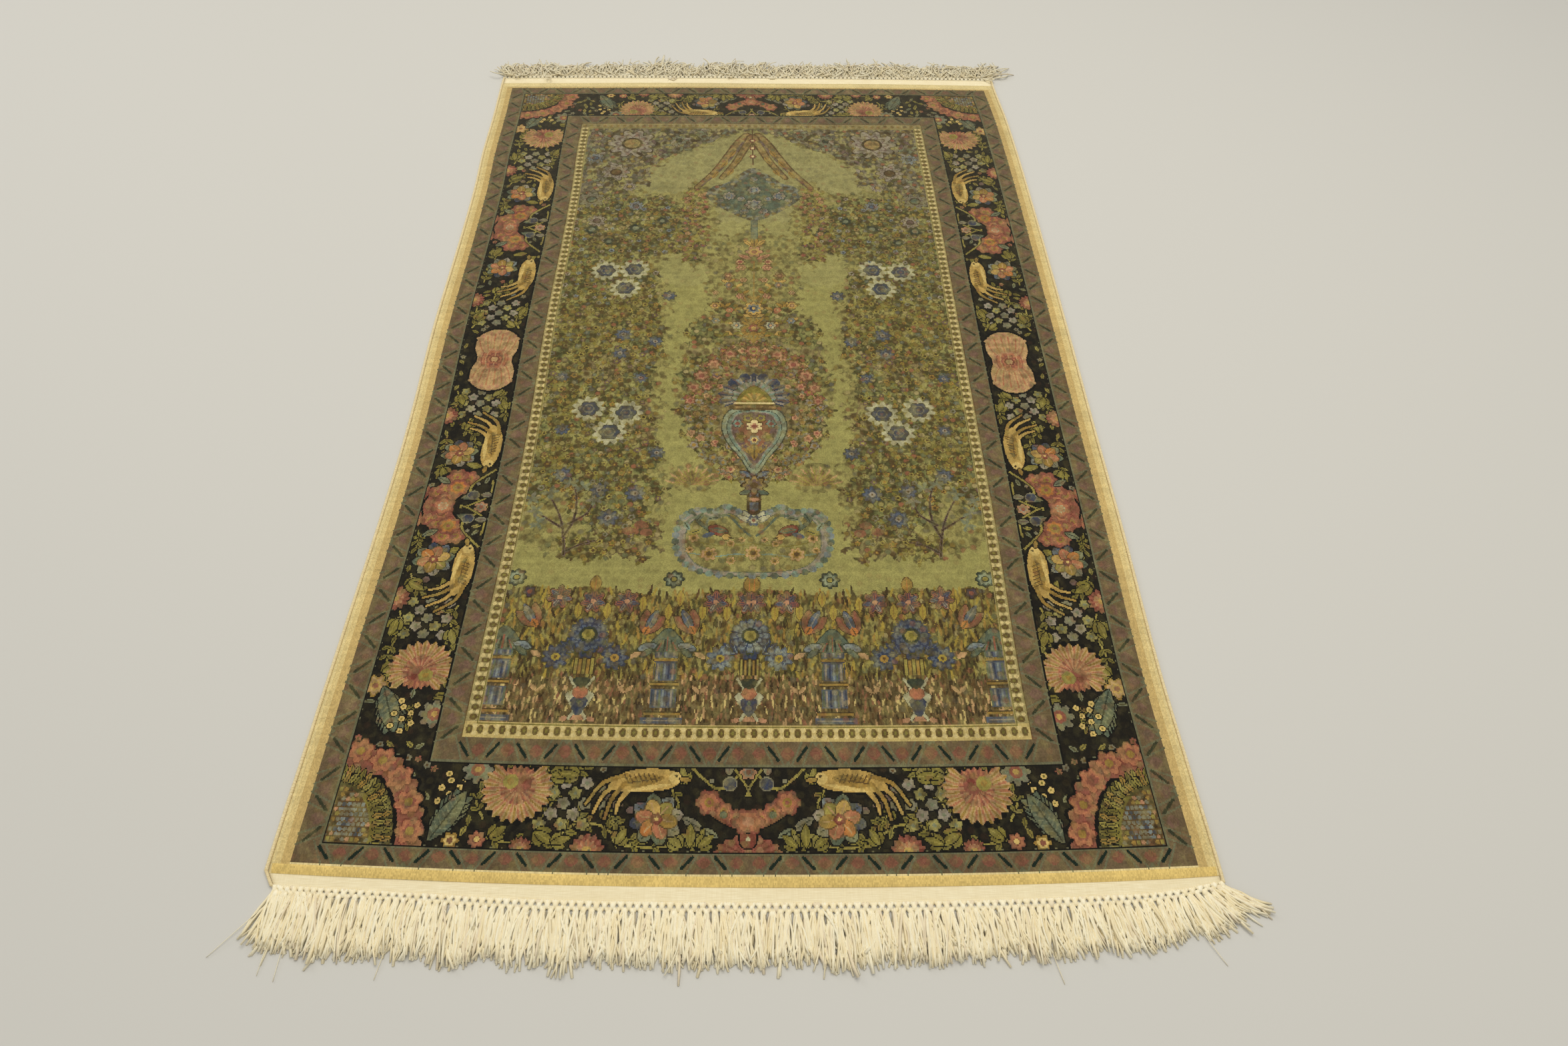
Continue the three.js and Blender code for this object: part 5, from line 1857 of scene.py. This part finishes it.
def heading_net(outward, knots_across, random):
    """Bundles of warps from the band to the first knots, and on to the second ones between them"""
    along = 0.0 if outward < 0 else 1.0
    first = np.linspace(-1, 1, knots_across)
    gap = first[1] - first[0]
    second = np.concatenate([first[:-1] + gap / 2, [-1.0, 1.0]])
    parts = []

    def legs(starts, start_at, ends, end_at, width):
        t = np.linspace(0, 1, 4)
        across = np.clip(starts[:, None] + (ends - starts)[:, None] * t, -1, 1)
        beyond = start_at + (end_at - start_at) * t
        x, y = place(across, along, outward * beyond, CORD_WIDTH)
        z = 1.0 + 0.5 * np.sin(math.pi * t) + random.uniform(0, 0.3, len(starts))[:, None]
        widths = np.broadcast_to(width * np.array([1.1, 0.8, 0.8, 1.1]), across.shape)
        parts.append(tubes(points_of(x, y, z), widths * MM, sides=4, flat=0.8))

    def lumps(at, beyond, size):
        jitter = random.uniform(-1.3, 1.3, len(at))
        x, y = place(at, along, outward * (beyond + jitter), CORD_WIDTH)
        t = np.linspace(-1, 1, 5)
        profile = np.sqrt(np.clip(1 - (t * 0.96) ** 2, 0, 1))
        scale = random.uniform(0.85, 1.2, len(at))[:, None]
        centre_y = y[:, None] + outward * t * size * 0.62 * scale
        z = np.full(centre_y.shape, 1.8)
        widths = size * profile * scale
        parts.append(tubes(points_of(x[:, None] + 0 * t, centre_y, z), widths * MM, sides=6, flat=0.85))

    for shift in (-0.34, 0.0, 0.34):
        legs(first + shift * gap, BAND_LENGTH - 1.0, first + 0.1 * shift * gap, KNOT_ROWS[0], 4.6)
    lumps(first, KNOT_ROWS[0], 5.0)
    for shift in (-0.5, 0.5):
        legs(first, KNOT_ROWS[0], np.clip(first + shift * gap, -1, 1), KNOT_ROWS[1], 4.9)
    lumps(second, KNOT_ROWS[1], 5.2)
    return parts, second


def loose_threads(
    outward, roots, random, lean, spread, count, length, curl, rise, width, stations, uneven, shorter,
):
    """Threads from the second row of knots"""
    along = 0.0 if outward < 0 else 1.0
    across = np.repeat(roots, count)
    total = len(across)
    t = np.linspace(0, 1, stations)[None, :]
    own = random.normal(0, 1, (6, total))
    layer = random.uniform(0, 1, total)
    tuft = np.repeat(random.normal(0, uneven, len(roots)), count)
    drift = np.sin(23 * across + 3) + 0.6 * np.sin(61 * across + 1) + 1.2 * np.sin(140 * across)
    base = read(*lean, across) + 2.4 * drift + own[0] * spread
    clump = np.sin(31 * across + 2) * 0.5 + np.sin(83 * across) * 0.35
    reach = length * (0.97 + 0.06 * clump + 0.05 * own[1] + tuft) * read(*shorter, across)
    # A few threads in a hundred stick out
    reach = reach * np.where(random.uniform(0, 1, total) < 0.03, 1.18, 1.0)
    bend = own[2] * curl
    wave = own[3] * curl * 0.5
    heading = np.radians(
        base[:, None] * (0.55 + 0.45 * t) + bend[:, None] * (t - 0.4) + wave[:, None] * np.sin(5 * t)
    )
    step = reach[:, None] / (stations - 1)
    root = np.where(random.uniform(0, 1, total) < 0.5, KNOT_ROWS[0] + 1.5, KNOT_ROWS[1] + 0.8)
    x0, y0 = place(across, along, outward * root, CORD_WIDTH)
    x0 = x0 + np.clip(own[4], -1.6, 1.6) * 1.3
    x = x0[:, None] + np.cumsum(np.sin(heading) * step, axis=1) - np.sin(heading[:, :1]) * step
    y = y0[:, None] + outward * (np.cumsum(np.cos(heading) * step, axis=1) - np.cos(heading[:, :1]) * step)
    hump = rise * layer[:, None] * np.sin(math.pi * np.clip(t * 1.05, 0, 1)) ** 0.8
    lift = rise * 0.55 * np.clip(own[5], 0, 2)[:, None] * t**2
    z = 0.75 + 1.1 * layer[:, None] * (1 - t) + hump + lift
    bundle = random.uniform(0.75, 1.25, total) * np.where(layer < 0.35, 1.5, 1.0)
    widths = width * (1 - 0.12 * t**3) * bundle[:, None]
    widths = np.where(t >= 1, widths * 0.8, widths)
    return tubes(points_of(x, y, z), widths * MM, sides=3, flat=0.85)


def stray_threads(strays, outward):
    """A few single threads that lie further out than the rest: across, heading, length, bend"""
    along = 0.0 if outward < 0 else 1.0
    lines = []
    stations = 10
    t = np.linspace(0, 1, stations)
    for across, heading, length, bend in strays:
        x0, y0 = place(across, along, outward * KNOT_ROWS[1], CORD_WIDTH)
        turn = np.radians(heading + bend * t)
        x = x0 + np.concatenate([[0], np.cumsum(np.sin(turn))[:-1]]) * length / (stations - 1)
        y = y0 + outward * np.concatenate([[0], np.cumsum(np.cos(turn))[:-1]]) * length / (stations - 1)
        lines.append(points_of(x, y, 0.9 + 2.2 * np.sin(math.pi * t)))
    lines = np.array(lines)
    return tubes(lines, np.broadcast_to(np.linspace(1.2, 0.8, stations), lines.shape[:2]) * MM, sides=3)


def fringe(name, outward, seed, look, strays=(), **threads):
    """A whole fringe, outward -1 at the near end or 1 at the far end"""
    random = np.random.default_rng(seed)
    knots_across = round(2 * CHART_HALF / KNOT_STEP) + 1
    parts, roots = heading_net(outward, knots_across, random)
    parts.append(loose_threads(outward, roots, random, **threads))
    if strays:
        parts.append(stray_threads(strays, outward))
    piece = mesh_from(name, *join(parts), "warp_fringe", LOOKS[look])
    shade_smooth(piece)
    return piece


# The looks of the plain yarns


def band_weave_look():
    """Flat-woven silk: fine warps along the rug, finer wefts across it"""
    look = Look("band_weave", 0.8, Sheen_Weight=0.2, Specular_IOR_Level=0.25)
    place_at = look.node("ShaderNodeTexCoord", 3)
    weft = look.noise(look.stretch(place_at, (60, 1500, 1)), 1.0, 2.0)
    warp = look.noise(look.stretch(place_at, (1300, 40, 1)), 1.0, 2.0)
    stain = look.noise(look.stretch(place_at, (9, 30, 1)), 1.0, 3.0)
    cloth = look.mix(look.range(weft, 0.3, 0.7, 0, 1), opaque(234, 220, 182), opaque(252, 243, 212))
    cloth = look.mix(look.range(warp, 0.35, 0.75, 0, 0.4), cloth, opaque(226, 211, 172))
    cloth = look.mix(look.range(stain, 0.45, 0.8, 0, 0.35), cloth, opaque(228, 211, 168))
    return look.paint(cloth, look.bump(look.math("ADD", weft, warp), 0.0004, 0.6))


def overcast_look():
    """The pale yarn wrapped round the edge"""
    look = Look("overcast_silk", 0.6, Sheen_Weight=0.3, Specular_IOR_Level=0.35)
    place_at = look.node("ShaderNodeTexCoord", 3)
    yarn = look.noise(look.stretch(place_at, (300, 900, 300)), 1.0, 2.0)
    lots = look.noise(look.stretch(place_at, (1, 14, 1)), 1.0, 2.0)
    colour = look.mix(look.range(yarn, 0.3, 0.7, 0, 1), opaque(204, 182, 132), opaque(240, 226, 186))
    colour = look.mix(look.range(lots, 0.35, 0.7, 0, 0.5), colour, opaque(226, 210, 168))
    return look.paint(colour, look.bump(yarn, 0.0004, 0.5))


def warp_fringe_look(name, painted_shade):
    """Loose warp ends: ivory, each a little lighter or darker, with a few tan ones. A higher
    value of the last argument darkens them all: painted shade for the shadows among curled threads."""
    look = Look(name, 0.78, Sheen_Weight=0.25, Specular_IOR_Level=0.25)
    painted_shade_by = opaque(*[255 - painted_shade] * 3)
    place_at = look.node("ShaderNodeTexCoord", 3)
    one_thread = look.node("ShaderNodeNewGeometry", "Random Per Island")
    fibre = look.noise(look.stretch(place_at, (900, 160, 300)), 1.0, 2.0)
    colour = look.mix(look.range(one_thread, 0, 1, 0, 1), opaque(248, 235, 198), opaque(255, 250, 228))
    tan = look.math("GREATER_THAN", one_thread, 0.93)
    colour = look.mix(look.math("MULTIPLY", tan, 0.4), colour, opaque(214, 186, 146))
    colour = look.mix(look.range(fibre, 0.45, 0.75, 0, 0.3), colour, opaque(232, 216, 178))
    # Painted shade: the whole colour darkened
    if painted_shade:
        colour = look.mix(1.0, colour, painted_shade_by, "MULTIPLY")
    return look.paint(colour, look.bump(fibre, 0.0003, 0.5))


def floor_look():
    """Plain pale floor"""
    look = Look("plain_floor", 0.6, Specular_IOR_Level=0.3)
    look.shader.inputs["Base Color"].default_value = opaque(206, 206, 204)
    return look.material


LOOKS = {
    "silk_pile": silk_pile_look(),
    "band_weave": band_weave_look(),
    "overcast_silk": overcast_look(),
    "warp_fringe": warp_fringe_look("warp_fringe", 0),
    # The far fringe is painted darker: painted shade for the shadows among its curls
    "far_fringe_shaded": warp_fringe_look("far_fringe_shaded", 22),
}

# The rug

paint_main_border()
paint_field()
paint_frames()
pile_chart = np.hstack([knots, knots[:, ::-1]])

ROOT_HEIGHT = 1.55
PILE_STRIPS = 5
strips = pile_strips(pile_chart, PILE_STRIPS, ROOT_HEIGHT)
cloth = foundation()
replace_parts(cloth, "rug_cloth")
for strip in strips:
    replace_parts(strip, "rug_cloth")
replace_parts(side_cord("overcast_left", -1), "selvedge_left")
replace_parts(side_cord("overcast_right", 1), "selvedge_right")

near = fringe(
    "near_fringe_threads", -1, 11, "warp_fringe", lean=NEAR_LEAN, spread=8, count=16, length=48, curl=16,
    rise=3.8, width=3.1, stations=6, uneven=0.07,
    shorter=((-1, -0.85, -0.6, -0.3, 0, 0.3, 0.8, 1), (1.08, 1.12, 1.06, 1.02, 1.0, 0.98, 0.88, 0.84)),
    strays=(
        (-0.995, -38, 76, -6), (-0.96, -12, 74, 8), (-0.93, -6, 78, 5), (-0.7, -14, 72, 4), (0.6, 8, 70, 8),
        (0.9, 22, 70, 10),
    ),
)
far = fringe(
    "far_fringe_threads", 1, 23, "far_fringe_shaded", lean=FAR_LEAN, spread=24, count=11, length=42, curl=85,
    rise=8.5, width=2.5, stations=8, uneven=0.24, shorter=((-1, 1), (1, 1)),
)
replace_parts(near, "fringe_near")
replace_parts(far, "fringe_far")

# The floor, the light and the camera

bpy.ops.mesh.primitive_plane_add(size=40, location=(0, 0, 0))
floor = bpy.context.object
floor.name = "floor"
floor.data.materials.append(floor_look())

world = bpy.data.worlds.new("studio")
bpy.context.scene.world = world
world.use_nodes = True
world.node_tree.nodes["Background"].inputs["Color"].default_value = (1.0, 0.97, 0.9, 1)
world.node_tree.nodes["Background"].inputs["Strength"].default_value = 0.55


def soft_light(name, at, aim, size, power, colour):
    """A large rectangle of light that faces the aim"""
    data = bpy.data.lights.new(name, "AREA")
    data.shape = "RECTANGLE"
    data.size, data.size_y = size
    data.energy = power
    data.color = colour
    lamp_object = bpy.data.objects.new(name, data)
    lamp_object.location = at
    lamp_object.rotation_euler = (Vector(aim) - Vector(at)).to_track_quat("-Z", "Y").to_euler()
    bpy.context.scene.collection.objects.link(lamp_object)


soft_light("ceiling", (0.4, 0.6, 3.2), (0, 0, 0), (3.2, 2.4), 60, (1.0, 0.94, 0.8))
soft_light("window", (-3.0, 2.2, 2.2), (0, 0.2, 0), (2.0, 1.6), 24, (1.0, 0.97, 0.9))

# The photograph's camera, fitted to the floor joints: where it stands and how it looks
CAMERA_AT = (-0.0020, -1.0860, 1.0005)
CAMERA_DOWN, CAMERA_ROLL, CAMERA_YAW = 51.863, 1.959, -2.467
LENS, SENSOR = 23.204, 36.0


def camera_axes(down, roll, yaw):
    """The camera's right, up and back directions as the columns of a turn"""
    down, roll, yaw = (math.radians(angle) for angle in (down, roll, yaw))
    level = Vector((-math.sin(yaw), math.cos(yaw), 0))
    right = Vector((math.cos(yaw), math.sin(yaw), 0))
    ahead = level * math.cos(down) - Vector((0, 0, math.sin(down)))
    below = -level * math.sin(down) - Vector((0, 0, math.cos(down)))
    turned_right = right * math.cos(roll) - below * math.sin(roll)
    turned_below = right * math.sin(roll) + below * math.cos(roll)
    return Matrix((turned_right, -turned_below, -ahead)).transposed()


camera_data = bpy.data.cameras.new("camera")
camera_data.lens = LENS
camera_data.sensor_width = SENSOR
camera = bpy.data.objects.new("camera", camera_data)
camera_turn = camera_axes(CAMERA_DOWN, CAMERA_ROLL, CAMERA_YAW).to_4x4()
camera.matrix_world = Matrix.Translation(CAMERA_AT) @ camera_turn
bpy.context.scene.collection.objects.link(camera)
bpy.context.scene.camera = camera
bpy.context.scene.view_settings.view_transform = "Standard"

bpy.context.view_layer.update()
